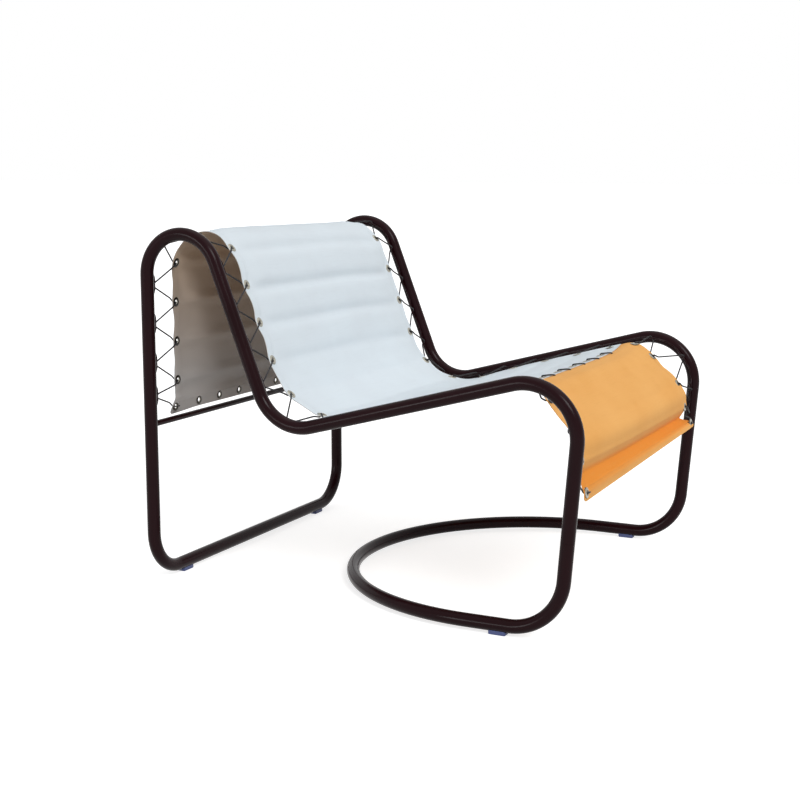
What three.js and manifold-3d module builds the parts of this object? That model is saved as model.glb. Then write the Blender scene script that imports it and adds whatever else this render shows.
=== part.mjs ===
// Cantilever lounge chair: one loop of bent tube, with a laced canvas seat and an orange canvas apron.
// Millimetres. Z is up, the chair faces -Y, X = 0 is its plane of symmetry, and it stands on Z = 0.
// Left is -X. The names of the lacing say which side of the chair it is on.
import * as THREE from 'three';
import { mergeVertices } from 'three/addons/utils/BufferGeometryUtils.js';
import Module from 'manifold-3d';

const wasm = await Module();
wasm.setup();
const { Manifold, Mesh: SolidMesh } = wasm;

// Whole chair
const overallHeight = 738;
const overallDepth = 945;
const frameWidth = 792; // between the centre lines of the two sides
const fitGap = 0.3; // between pieces that touch
const cutOverrun = 4; // how far a cutter runs past what it cuts

// Bent tube
const tubeDiameter = 27;
const tubeWall = 2;
const archRadius = 84;
const backLean = 21.3; // degrees from upright
const seatBendRadius = 95;
const seatRise = 15; // degrees, rising to the front
const seatCornerHeight = 336; // where the lines of the back and the seat would meet
const seatCornerSetback = 290; // from the rear upright to that corner
const kneeRadius = 99;
const legLean = 4.5; // degrees, the foot further back than the knee
const footRadius = 107;
const rearBendRadius = 88;
const floorStraight = 86; // on the floor, from the foot's bend to the half circle
const rearJointHeight = 210;
const frontJointHeight = 190;

// Joint sleeves, inside the tubes
const sleeveLength = 64;
const sleeveWall = 2;

// Rear crossbar
const crossbarDiameter = 12.6;
const crossbarHeight = 334;

// Glides
const glideThickness = 5; // of plastic under the tube
const glideLength = 34;
const glideWidth = 19;
const glideWrap = 4; // how far it reaches up the tube
const glideEdge = 2;
const glidePinDiameter = 6;
const glidePinLength = 8;
const rearGlideInset = 110; // from the side's centre line
const frontGlideReach = 66; // in front of the start of the floor loop's half circle

// Canvas
const clothThickness = 1.2;
const seatEyeletInset = 78; // from the side's centre line to its row of eyelets
const apronEyeletInset = 66;
const tabReach = 12; // of cloth past the middle of an eyelet
const scallopDepth = 6; // how far the edge draws in between eyelets
const tabLength = 20; // flat cloth round an eyelet, along the edge
const flapInset = 14; // of the rear flap, in front of the rear uprights
const backForward = 5; // of the cloth, in front of the middle of the back's tubes
const seatInset = 2; // of the cloth, under the middle of the seat's tubes
const canvasArchRadius = 79.5;
const canvasSeatBendRadius = 150;
const hemHeight = 354; // lower edge of the rear flap
const hemPitch = 52; // from the corner eyelet to the next one
const seatPitches = 15; // after that
const archPitches = 5; // of them, up to the first eyelet past the arch
const archExtra = 11; // of cloth in the pitch over the arch, made up by the later pitches
const seamSetback = 165; // from the seam to the point where the seat and the legs would meet
const seamReach = 25; // of white cloth past its last eyelet
const swellHeight = 5; // of the cloth between two pairs of eyelets
const seatSag = 7;
const sagStartShare = 0.42; // of the cloth's length, where the sag begins

// Orange apron
const apronOverlap = 6; // under the white cloth
const apronDrop = 1.5; // below the white cloth, middle to middle
const apronSeatBendRadius = 80;
const apronFrontBendRadius = 110;
const apronKneeSlope = 42; // degrees below level, where it cuts the corner inside the knee
const apronKneeInset = 27; // inside the tube's bend
const apronFrontLean = 8; // degrees, the hem further forward
const apronHemHeight = 270;
const apronHemReach = 8; // of the hem, in front of the tube's foremost line
const apronSeamPitch = 52;
const apronKneePitch = 84;
const apronFrontPitch = 56;
const apronFoldPitch = 50;
const apronHemMargin = 12;
const foldDepth = 13; // of the valley between the last two pairs of eyelets

// Eyelets
const eyeletBore = 9.6;
const eyeletBarrel = 11.2;
const eyeletFlange = 20;
const eyeletFlangeThickness = 0.8;

// Lacing
const rodDiameter = 4;
const rodBump = 8.5; // how far a bump of the rod stands off the tube
const rodBumpLength = 62;
const rodTail = 14; // of rod past its last bump
const cordDiameter = 3;
const cordEdgeRise = 3.4; // of the cord over or under the cloth's edge
const cordSlack = 2; // of the cord's hook round the rod
const cordLoop = 9; // between where the cord comes to a bump and where it leaves
const seamHoles = 6;
const seamEyeletInset = 12; // from the end of the white cloth
const slitReach = 11; // from the end of the white cloth to the slits in the apron
const slitLength = 12;
const slitWidth = 3.8;
const seamCordRise = 4.2; // of the cord over the white hem

// Smoothness of the mesh
const tubeSides = 12;
const boreSides = 8;
const bendStep = 12; // degrees
const rodSides = 5;
const cordSides = 5;
const eyeletSides = 7;
const holeSides = 6;

const quarterTurn = Math.PI / 2;
const halfTurn = Math.PI;
const degree = Math.PI / 180;
const tubeRadius = tubeDiameter / 2;
const rodRadius = rodDiameter / 2;
const cordRadius = cordDiameter / 2;
const floorTubeHeight = glideThickness + tubeRadius;
const rearLine = overallDepth / 2 - tubeRadius;
const sideLine = frameWidth / 2;
const seatEyeletX = sideLine - seatEyeletInset;
const apronEyeletX = sideLine - apronEyeletInset;

const paint = new THREE.MeshStandardMaterial({ color: 0x2a1c24, roughness: 0.3, metalness: 0.3 });
const steel = new THREE.MeshStandardMaterial({ color: 0x8d9196, roughness: 0.45, metalness: 0.9 });
const plastic = new THREE.MeshStandardMaterial({ color: 0x3c4a80, roughness: 0.5, metalness: 0 });
const whiteCanvas = new THREE.MeshStandardMaterial({ color: 0xe4e7ea, roughness: 0.9, metalness: 0 });
const orangeCanvas = new THREE.MeshStandardMaterial({ color: 0xe9a24f, roughness: 0.9, metalness: 0 });
const nickel = new THREE.MeshStandardMaterial({ color: 0xd9d9d4, roughness: 0.3, metalness: 1 });
const elastic = new THREE.MeshStandardMaterial({ color: 0x17171a, roughness: 0.8, metalness: 0 });

const chair = new THREE.Group();

function addPiece(name, geometry, material) {
  const piece = new THREE.Mesh(geometry, material);
  piece.name = name;
  chair.add(piece);
  return piece;
}

// Plane curve with rounded corners, in (y, z). The path runs from the first corner to the last.
class RoundedPath {
  constructor(corners, radii) {
    this.runs = [];
    let from = corners[0];
    for (let i = 1; i < corners.length; i += 1) {
      const ahead = corners[i].clone().sub(corners[i - 1]).normalize();
      const next = corners[i + 1];
      if (!next) {
        this.addLine(from, corners[i]);
        break;
      }
      const away = next.clone().sub(corners[i]).normalize();
      const turn = Math.atan2(ahead.cross(away), ahead.dot(away));
      const radius = radii[i - 1];
      const reach = radius * Math.tan(Math.abs(turn) / 2);
      const start = corners[i].clone().addScaledVector(ahead, -reach);
      this.addLine(from, start);
      this.addArc(start, ahead, radius, turn);
      from = corners[i].clone().addScaledVector(away, reach);
    }
    this.length = this.runs.reduce((sum, run) => sum + run.length, 0);
  }

  addLine(from, to) {
    const way = to.clone().sub(from);
    this.runs.push({ start: from, heading: way.angle(), length: way.length(), turn: 0, radius: 0 });
  }

  addArc(start, way, radius, turn) {
    const length = radius * Math.abs(turn);
    this.runs.push({ start, heading: way.angle(), length, turn, radius });
  }

  // Point and heading at a distance along the path.
  at(distance) {
    const lastRun = this.runs[this.runs.length - 1];
    let left = Math.max(distance, 0);
    let run = this.runs[0];
    for (run of this.runs) {
      if (left <= run.length || run === lastRun) break;
      left -= run.length;
    }
    left = Math.min(left, run.length);
    const start = run.start.clone();
    if (run.turn === 0) {
      const point = start.add(new THREE.Vector2(Math.cos(run.heading), Math.sin(run.heading)).multiplyScalar(left));
      return { point, heading: run.heading };
    }
    const side = Math.sign(run.turn);
    const heading = run.heading + side * left / run.radius;
    const middle = start.add(across(run.heading, side * run.radius));
    return { point: middle.add(across(heading, -side * run.radius)), heading };
  }

  // Distances at which a swept tube needs a ring: ends of runs, and steps along the bends.
  stops(from, to) {
    const list = [from];
    let begun = 0;
    for (const run of this.runs) {
      const steps = run.turn === 0 ? 1 : Math.ceil(Math.abs(run.turn) / (bendStep * degree));
      for (let i = 0; i <= steps; i += 1) {
        const stop = begun + run.length * i / steps;
        const last = list[list.length - 1];
        if (stop > last + fitGap && stop < to - fitGap) list.push(stop);
      }
      begun += run.length;
    }
    list.push(to);
    return list;
  }

  // Distance along the path at its point nearest to a given one.
  nearest(point) {
    const samples = 800;
    let best = 0;
    let bestGap = Infinity;
    for (let i = 0; i <= samples; i += 1) {
      const distance = this.length * i / samples;
      const gap = this.at(distance).point.distanceTo(point);
      if (gap < bestGap) {
        bestGap = gap;
        best = distance;
      }
    }
    return best;
  }
}

// Vector of a given length at right angles to a heading, to its left.
function across(heading, length) {
  return new THREE.Vector2(-Math.sin(heading), Math.cos(heading)).multiplyScalar(length);
}

// Meeting point of two lines, each a point and a heading.
function meet(pointA, headingA, pointB, headingB) {
  const a = new THREE.Vector2(Math.cos(headingA), Math.sin(headingA));
  const b = new THREE.Vector2(Math.cos(headingB), Math.sin(headingB));
  const reach = pointB.clone().sub(pointA).cross(b) / a.cross(b);
  return pointA.clone().addScaledVector(a, reach);
}

// Path whose rings stand exactly at the given points.
class RingPath extends THREE.Curve {
  constructor(points, tangents) {
    super();
    this.points = points;
    this.tangents = tangents ?? points.map((point, i) => {
      const before = points[Math.max(i - 1, 0)];
      const after = points[Math.min(i + 1, points.length - 1)];
      return after.clone().sub(before).normalize();
    });
  }

  getPointAt(share) {
    return this.points[Math.round(share * (this.points.length - 1))].clone();
  }

  getTangentAt(share) {
    return this.tangents[Math.round(share * (this.points.length - 1))].clone();
  }
}

function ringShape(radius) {
  const shape = new THREE.Shape();
  shape.absarc(0, 0, radius, 0, 2 * Math.PI, false);
  return shape;
}

// Closed tube or bar along a ring path.
function sweep(path, radius, sides, boreRadius = 0) {
  const outline = new THREE.Shape(ringShape(radius).getSpacedPoints(sides).slice(0, sides));
  if (boreRadius > 0) {
    outline.holes.push(new THREE.Path(ringShape(boreRadius).getSpacedPoints(boreSides).slice(0, boreSides)));
  }
  const steps = path.points.length - 1;
  return new THREE.ExtrudeGeometry(outline, { steps, extrudePath: path, bevelEnabled: false });
}

function toSolid(geometry) {
  const bare = geometry.clone();
  bare.deleteAttribute('normal');
  bare.deleteAttribute('uv');
  const merged = mergeVertices(bare);
  const vertProperties = new Float32Array(merged.attributes.position.array);
  const triVerts = new Uint32Array(merged.index.array);
  return new Manifold(new SolidMesh({ numProp: 3, vertProperties, triVerts }));
}

function fromSolid(solid) {
  const mesh = solid.getMesh();
  const geometry = new THREE.BufferGeometry();
  geometry.setAttribute('position', new THREE.BufferAttribute(new Float32Array(mesh.vertProperties), 3));
  geometry.setIndex(new THREE.BufferAttribute(new Uint32Array(mesh.triVerts), 1));
  const flat = geometry.toNonIndexed();
  flat.computeVertexNormals();
  return flat;
}

function subtractAll(geometry, cutters) {
  let solid = toSolid(geometry);
  for (const cutter of cutters) solid = solid.subtract(toSolid(cutter));
  return fromSolid(solid);
}

// Cylinder between two points, along the line that joins them.
function rodBetween(from, to, radius, sides) {
  const way = to.clone().sub(from);
  const geometry = new THREE.CylinderGeometry(radius, radius, way.length(), sides);
  const turn = new THREE.Quaternion().setFromUnitVectors(new THREE.Vector3(0, 1, 0), way.clone().normalize());
  geometry.applyQuaternion(turn);
  const middle = from.clone().add(to).divideScalar(2);
  return geometry.translate(middle.x, middle.y, middle.z);
}

function inSide(side, x, point) {
  return new THREE.Vector3(side * x, point.x, point.y);
}

// Lines of the side, as headings in (y, z). The path climbs the rear upright, goes over the arch,
// down the back, forward along the seat, over the knee and down the front leg to the floor.
const upHeading = quarterTurn;
const backHeading = -quarterTurn - backLean * degree;
const seatHeading = halfTurn - seatRise * degree;
const legHeading = -quarterTurn + legLean * degree;
const floorHeading = 0;
const archMiddle = new THREE.Vector2(rearLine - archRadius, overallHeight - tubeRadius - archRadius);
const backPoint = archMiddle.clone().add(across(backHeading, -archRadius));
const seatPoint = meet(backPoint, backHeading, new THREE.Vector2(0, seatCornerHeight), floorHeading);
seatPoint.x = rearLine - seatCornerSetback;
const kneeFront = new THREE.Vector2(-rearLine, 0);
const kneeMiddleLine = kneeFront.x + kneeRadius;
const kneeMiddle = meet(
  seatPoint.clone().add(across(seatHeading, kneeRadius)),
  seatHeading,
  new THREE.Vector2(kneeMiddleLine, 0),
  upHeading,
);
const legPoint = kneeMiddle.clone().add(across(legHeading, -kneeRadius));
const rearFoot = new THREE.Vector2(rearLine, floorTubeHeight);
const archCorner = meet(rearFoot, upHeading, backPoint, backHeading);
const seatCorner = meet(backPoint, backHeading, seatPoint, seatHeading);
const kneeCorner = meet(seatPoint, seatHeading, legPoint, legHeading);
const footCorner = meet(legPoint, legHeading, rearFoot, floorHeading);
const footReach = footRadius * Math.tan((quarterTurn - legLean * degree) / 2);
const loopMiddle = footCorner.x + footReach + floorStraight;
const loopStart = new THREE.Vector2(loopMiddle, floorTubeHeight);
const sidePath = new RoundedPath(
  [rearFoot, archCorner, seatCorner, kneeCorner, footCorner, loopStart],
  [archRadius, seatBendRadius, kneeRadius, footRadius],
);

// Where the side tubes end and the two floor pieces begin.
const rearJoint = rearJointHeight - floorTubeHeight;
const legBottom = meet(legPoint, legHeading, new THREE.Vector2(0, frontJointHeight), floorHeading);
const frontJoint = sidePath.nearest(legBottom);

function sideRings(side, from, to) {
  const points = [];
  const tangents = [];
  for (const stop of sidePath.stops(from, to)) {
    const { point, heading } = sidePath.at(stop);
    points.push(inSide(side, sideLine, point));
    tangents.push(new THREE.Vector3(0, Math.cos(heading), Math.sin(heading)));
  }
  return { points, tangents };
}

const boreRadius = tubeRadius - tubeWall;

function addSideTube(name, side) {
  const { points, tangents } = sideRings(side, rearJoint + fitGap / 2, frontJoint - fitGap / 2);
  addPiece(name, sweep(new RingPath(points, tangents), tubeRadius, tubeSides, boreRadius), paint);
}

// Hole in the underside of a floor tube, for a glide's pin.
function pinHole(x, y) {
  const bottom = new THREE.Vector3(x, y, glideThickness - cutOverrun);
  const top = new THREE.Vector3(x, y, floorTubeHeight);
  return rodBetween(bottom, top, glidePinDiameter / 2 + fitGap, tubeSides);
}

const rearGlideX = sideLine - rearGlideInset;
const frontGlideY = loopMiddle - frontGlideReach;

// Rear floor hoop: short uprights, two bends and the straight bar on the floor.
function addRearHoop() {
  const points = [];
  const tangents = [];
  const steps = Math.ceil(quarterTurn / (bendStep * degree));
  for (const side of [-1, 1]) {
    const ring = [];
    ring.push([new THREE.Vector3(side * sideLine, rearLine, rearJointHeight - fitGap / 2), new THREE.Vector3(0, 0, side)]);
    for (let i = 0; i <= steps; i += 1) {
      const angle = quarterTurn * i / steps;
      const x = side * (sideLine - rearBendRadius + rearBendRadius * Math.cos(angle));
      const z = floorTubeHeight + rearBendRadius - rearBendRadius * Math.sin(angle);
      ring.push([new THREE.Vector3(x, rearLine, z), new THREE.Vector3(Math.sin(angle), 0, side * Math.cos(angle))]);
    }
    if (side > 0) ring.reverse();
    for (const [point, tangent] of ring) {
      points.push(point);
      tangents.push(tangent);
    }
  }
  const tube = sweep(new RingPath(points, tangents), tubeRadius, tubeSides, boreRadius);
  const holes = [pinHole(-rearGlideX, rearLine), pinHole(rearGlideX, rearLine)];
  addPiece('rear_floor_hoop', subtractAll(tube, holes), paint);
}

// Front floor loop: both lower legs, their bends and the half circle under the seat.
function addFloorLoop() {
  const left = sideRings(-1, frontJoint + fitGap / 2, sidePath.length);
  const right = sideRings(1, frontJoint + fitGap / 2, sidePath.length);
  const points = [...left.points];
  const tangents = [...left.tangents];
  const steps = Math.ceil(halfTurn / (bendStep * degree));
  for (let i = 1; i < steps; i += 1) {
    const angle = halfTurn * i / steps;
    const x = -sideLine * Math.cos(angle);
    points.push(new THREE.Vector3(x, loopMiddle + sideLine * Math.sin(angle), floorTubeHeight));
    tangents.push(new THREE.Vector3(Math.sin(angle), Math.cos(angle), 0));
  }
  points.push(...right.points.reverse());
  tangents.push(...right.tangents.reverse().map((tangent) => tangent.negate()));
  const tube = sweep(new RingPath(points, tangents), tubeRadius, tubeSides, boreRadius);
  const holes = [pinHole(-sideLine, frontGlideY), pinHole(sideLine, frontGlideY)];
  addPiece('front_floor_loop', subtractAll(tube, holes), paint);
}

// Sleeve hidden inside a joint between two tubes.
function addSleeve(name, side, distance) {
  const half = sleeveLength / 2;
  const from = sidePath.at(distance - half).point;
  const to = sidePath.at(distance + half).point;
  const points = [inSide(side, sideLine, from), inSide(side, sideLine, to)];
  // The bore and the sleeve are like polygons, so the gap is set between their flats.
  const outer = boreRadius - fitGap / Math.cos(Math.PI / boreSides);
  addPiece(name, sweep(new RingPath(points), outer, boreSides, outer - sleeveWall), steel);
}

// Thin bar between the rear uprights, with ends shaped to the tubes.
function addCrossbar() {
  const from = new THREE.Vector3(-sideLine, rearLine, crossbarHeight);
  const to = new THREE.Vector3(sideLine, rearLine, crossbarHeight);
  const bar = rodBetween(from, to, crossbarDiameter / 2, tubeSides);
  const cutters = [-1, 1].map((side) => {
    const low = new THREE.Vector3(side * sideLine, rearLine, crossbarHeight - crossbarDiameter);
    const high = new THREE.Vector3(side * sideLine, rearLine, crossbarHeight + crossbarDiameter);
    return rodBetween(low, high, tubeRadius + fitGap, tubeSides * 2);
  });
  addPiece('rear_crossbar', subtractAll(bar, cutters), paint);
}

// Moulded glide: a saddle under the tube with a pin that presses into it. The tube runs along X or Y.
function addGlide(name, x, y, alongX) {
  const top = glideThickness + glideWrap;
  const outline = new THREE.Shape();
  const half = glideWidth / 2;
  outline.moveTo(-half + glideEdge, 0);
  outline.lineTo(half - glideEdge, 0);
  outline.lineTo(half, glideEdge);
  outline.lineTo(half, top);
  outline.lineTo(-half, top);
  outline.lineTo(-half, glideEdge);
  const block = new THREE.ExtrudeGeometry(outline, { depth: glideLength, bevelEnabled: false });
  block.translate(0, 0, -glideLength / 2);
  block.rotateX(quarterTurn);
  const from = new THREE.Vector3(0, -glideLength, floorTubeHeight);
  const to = new THREE.Vector3(0, glideLength, floorTubeHeight);
  const seat = rodBetween(from, to, tubeRadius + fitGap, tubeSides * 2);
  const pinFoot = new THREE.Vector3(0, 0, glideEdge);
  const pinHead = new THREE.Vector3(0, 0, glideThickness + glidePinLength);
  const pin = rodBetween(pinFoot, pinHead, glidePinDiameter / 2, boreSides);
  const solid = toSolid(block).subtract(toSolid(seat)).add(toSolid(pin));
  const glide = addPiece(name, fromSolid(solid), plastic);
  glide.position.set(x, y, 0);
  if (alongX) glide.rotation.z = quarterTurn;
}

// White canvas path, from the rear hem up the flap, over the arch, down the back and along the seat.
const hemPoint = new THREE.Vector2(rearLine - flapInset, hemHeight);
const backCanvas = backPoint.clone().add(across(backHeading, -backForward));
const seatCanvas = seatPoint.clone().add(across(seatHeading, seatInset));
const canvasArchCorner = meet(hemPoint, upHeading, backCanvas, backHeading);
const canvasSeatCorner = meet(backCanvas, backHeading, seatCanvas, seatHeading);
const canvasPath = new RoundedPath(
  [hemPoint, canvasArchCorner, canvasSeatCorner, kneeCorner.clone().add(across(seatHeading, seatInset))],
  [canvasArchRadius, canvasSeatBendRadius],
);
const canvasEnd = canvasPath.length - seamSetback;
const evenStart = tabReach + hemPitch;
const lacingPitch = (canvasEnd - seamReach - evenStart) / seatPitches;
const seatStops = [tabReach];
for (let i = 0; i <= seatPitches; i += 1) {
  const pastArch = (seatPitches - i) / (seatPitches - archPitches);
  const shift = i < archPitches ? 0 : archExtra * pastArch;
  seatStops.push(evenStart + i * lacingPitch + shift);
}

// Apron path: under the white cloth, round inside the knee and down in front of the legs.
const apronHeading = -quarterTurn - apronFrontLean * degree;
const apronBegin = canvasPath.at(canvasEnd - apronOverlap);
const apronStart = apronBegin.point.clone().add(across(apronBegin.heading, apronDrop));
const apronHem = new THREE.Vector2(-rearLine - apronHemReach, apronHemHeight);
const apronKneeHeading = halfTurn + apronKneeSlope * degree;
const apronKnee = kneeMiddle.clone().add(across(apronKneeHeading, apronKneeInset - kneeRadius));
const apronUpperCorner = meet(apronStart, seatHeading, apronKnee, apronKneeHeading);
const apronLowerCorner = meet(apronKnee, apronKneeHeading, apronHem, apronHeading);
const apronPath = new RoundedPath(
  [apronStart, apronUpperCorner, apronLowerCorner, apronHem],
  [apronSeatBendRadius, apronFrontBendRadius],
);
const apronStops = [apronPath.length - apronHemMargin];
for (const pitch of [apronFoldPitch, apronFrontPitch, apronKneePitch, apronSeamPitch]) {
  apronStops.unshift(apronStops[0] - pitch);
}

// The outer side of the cloth is to the right of its path's heading.
function clothPlace(path, distance) {
  const { point, heading } = path.at(distance);
  return { point, outward: across(heading, -1) };
}

// Middle and outward side of the flat tab of cloth round an eyelet.
function tabPlace(path, stop) {
  const from = path.at(stop - tabLength / 2).point;
  const to = path.at(stop + tabLength / 2).point;
  const heading = to.clone().sub(from).angle();
  return { point: from.clone().add(to).divideScalar(2), outward: across(heading, -1) };
}

// Closed sheet of cloth. rows: distance along the path and how far the edge is drawn in there.
function clothSheet(path, rows, columnShares, edge, bulge) {
  const positions = [];
  const index = [];
  const last = columnShares.length - 1;
  for (const face of [1, -1]) {
    for (const row of rows) {
      const { point, outward } = clothPlace(path, row.distance);
      for (const share of columnShares) {
        const reach = Math.abs(share) === 1 ? edge - row.drawn : edge;
        const offset = bulge(row, share) + face * clothThickness / 2;
        const place = point.clone().addScaledVector(outward, offset);
        positions.push(share * reach, place.x, place.y);
      }
    }
  }
  const width = columnShares.length;
  const back = rows.length * width;
  const quad = (a, b, c, d) => index.push(a, c, b, a, d, c);
  for (let i = 0; i < rows.length - 1; i += 1) {
    for (let j = 0; j < last; j += 1) {
      const a = i * width + j;
      quad(a, a + 1, a + 1 + width, a + width);
      quad(back + a, back + a + width, back + a + width + 1, back + a + 1);
    }
    const left = i * width;
    const right = left + last;
    quad(left, left + width, back + left + width, back + left);
    quad(right, back + right, back + right + width, right + width);
  }
  const end = (rows.length - 1) * width;
  for (let j = 0; j < last; j += 1) {
    quad(j, back + j, back + j + 1, j + 1);
    quad(end + j, end + j + 1, back + end + j + 1, back + end + j);
  }
  const sheet = new THREE.BufferGeometry();
  sheet.setAttribute('position', new THREE.Float32BufferAttribute(positions, 3));
  sheet.setIndex(index);
  return sheet;
}

// Rows of a cloth: its two ends, both ends of each tab, and the middle between two tabs.
function clothRows(stops, end) {
  const rows = [{ distance: 0, drawn: 0, swell: 0 }];
  stops.forEach((stop, i) => {
    if (stop - tabLength / 2 > 0) rows.push({ distance: stop - tabLength / 2, drawn: 0, swell: 0 });
    if (stop + tabLength / 2 < end) rows.push({ distance: stop + tabLength / 2, drawn: 0, swell: 0 });
    const next = stops[i + 1];
    if (next) rows.push({ distance: (stop + next) / 2, drawn: scallopDepth, swell: 1, gap: i });
  });
  rows.push({ distance: end, drawn: 0, swell: 0 });
  return rows.filter((row, i) => i === 0 || row.distance > rows[i - 1].distance + fitGap);
}

const edgeShare = 0.93; // the cloth is flat outside this share of its half width
const sheetShares = [-1, -edgeShare, 0, edgeShare, 1];

// How far the middle of the cloth rises over its edges, as a share of the rise at its centre line.
function crownShare(share) {
  return 1 - Math.min((share / edgeShare) ** 2, 1);
}

// Sag of the white cloth, greatest halfway between the arch and the seam.
function sagAt(distance) {
  const begin = sagStartShare * canvasEnd;
  const way = THREE.MathUtils.clamp((distance - begin) / (canvasEnd - begin), 0, 1);
  return seatSag * Math.sin(halfTurn * way);
}

// Cutter for the hole under an eyelet, along the outward side.
function eyeletHole(x, place) {
  const { point, outward } = place;
  const from = point.clone().addScaledVector(outward, -cutOverrun);
  const to = point.clone().addScaledVector(outward, cutOverrun);
  const start = new THREE.Vector3(x, from.x, from.y);
  const end = new THREE.Vector3(x, to.x, to.y);
  const radius = (eyeletBarrel / 2 + fitGap) / Math.cos(Math.PI / holeSides);
  return rodBetween(start, end, radius, holeSides);
}

function addWhiteCanvas() {
  const rows = clothRows(seatStops, canvasEnd);
  const edge = seatEyeletX + tabReach;
  const crown = (row, share) => crownShare(share) * (row.swell * swellHeight - sagAt(row.distance));
  const sheet = clothSheet(canvasPath, rows, sheetShares, edge, crown);
  const cutters = [];
  for (const side of [-1, 1]) {
    for (const stop of seatStops) cutters.push(eyeletHole(side * seatEyeletX, tabPlace(canvasPath, stop)));
  }
  for (const x of seamPlaces()) cutters.push(eyeletHole(x, clothPlace(canvasPath, canvasEnd - seamEyeletInset)));
  addPiece('seat_and_back_canvas', subtractAll(sheet, cutters), whiteCanvas);
}

// Places of the seam's holes across the chair.
function seamPlaces() {
  const pitch = 2 * seatEyeletX / (seamHoles + 1);
  const places = [];
  for (let i = 1; i <= seamHoles; i += 1) places.push(i * pitch - seatEyeletX);
  return places;
}

function addApron() {
  const rows = clothRows(apronStops, apronPath.length);
  const foldGap = apronStops.length - 2;
  const edge = apronEyeletX + tabReach;
  const crown = (row, share) => {
    if (row.gap === foldGap) return Math.abs(share) === 1 ? 0 : -foldDepth;
    return crownShare(share) * row.swell * swellHeight;
  };
  const sheet = clothSheet(apronPath, rows, sheetShares, edge, crown);
  const cutters = [];
  for (const side of [-1, 1]) {
    for (const stop of apronStops) cutters.push(eyeletHole(side * apronEyeletX, tabPlace(apronPath, stop)));
  }
  const slitStop = apronOverlap + slitReach;
  const { point, heading } = apronPath.at(slitStop);
  for (const x of seamPlaces()) {
    const slit = new THREE.BoxGeometry(slitLength, slitWidth, 2 * cutOverrun);
    slit.rotateX(heading);
    cutters.push(slit.translate(x, point.x, point.y));
  }
  addPiece('front_apron_canvas', subtractAll(sheet, cutters), orangeCanvas);
}

// Two-flanged metal eyelet, turned about its own Z.
function eyeletGeometry() {
  const inner = eyeletBore / 2;
  const barrel = eyeletBarrel / 2;
  const flange = eyeletFlange / 2;
  const near = clothThickness / 2 + fitGap;
  const far = near + eyeletFlangeThickness;
  const profile = [
    [inner, -far],
    [flange, -far],
    [flange, -near],
    [barrel, -near],
    [barrel, near],
    [flange, near],
    [flange, far],
    [inner, far],
    [inner, -far],
  ].map(([radius, height]) => new THREE.Vector2(radius, height));
  return new THREE.LatheGeometry(profile, eyeletSides).rotateX(quarterTurn);
}

function addEyelet(name, x, place) {
  const eyelet = addPiece(name, eyeletGeometry(), nickel);
  eyelet.position.set(x, place.point.x, place.point.y);
  const outward = new THREE.Vector3(0, place.outward.x, place.outward.y);
  eyelet.quaternion.setFromUnitVectors(new THREE.Vector3(0, 0, 1), outward);
}

// Bumps of the lacing rod stand midway between neighbouring eyelets.
function bumpStops(path, stops) {
  const list = [];
  for (let i = 0; i < stops.length - 1; i += 1) {
    const middle = path.at((stops[i] + stops[i + 1]) / 2).point;
    list.push(sidePath.nearest(middle));
  }
  return list;
}

const rodPeak = tubeRadius + fitGap + rodRadius + rodBump;
const restX = sideLine - (tubeRadius + fitGap + rodRadius);
const peakX = sideLine - rodPeak;

// Bent rod welded along the inner side of a tube, one bump for each hook of the cord.
function addLacingRod(name, side, bumps) {
  const points = [];
  const add = (distance, x) => points.push(inSide(side, x, sidePath.at(distance).point));
  const first = bumps[0] - rodBumpLength / 2 - rodTail;
  add(first, restX);
  bumps.forEach((bump, i) => {
    const before = i > 0 ? bump - bumps[i - 1] : Infinity;
    const after = i < bumps.length - 1 ? bumps[i + 1] - bump : Infinity;
    const reachBefore = Math.min(rodBumpLength, before) / 2;
    const reachAfter = Math.min(rodBumpLength, after) / 2;
    const lift = (restX + peakX) / 2;
    if (before > rodBumpLength + rodDiameter) add(bump - reachBefore, restX);
    add(bump - reachBefore / 2 - cordLoop / 4, lift);
    add(bump - cordLoop, peakX);
    add(bump + cordLoop, peakX);
    add(bump + reachAfter / 2 + cordLoop / 4, lift);
    add(bump + reachAfter, restX);
  });
  add(bumps[bumps.length - 1] + rodBumpLength / 2 + rodTail, restX);
  addPiece(name, sweep(new RingPath(points), rodRadius, rodSides), paint);
}

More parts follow.
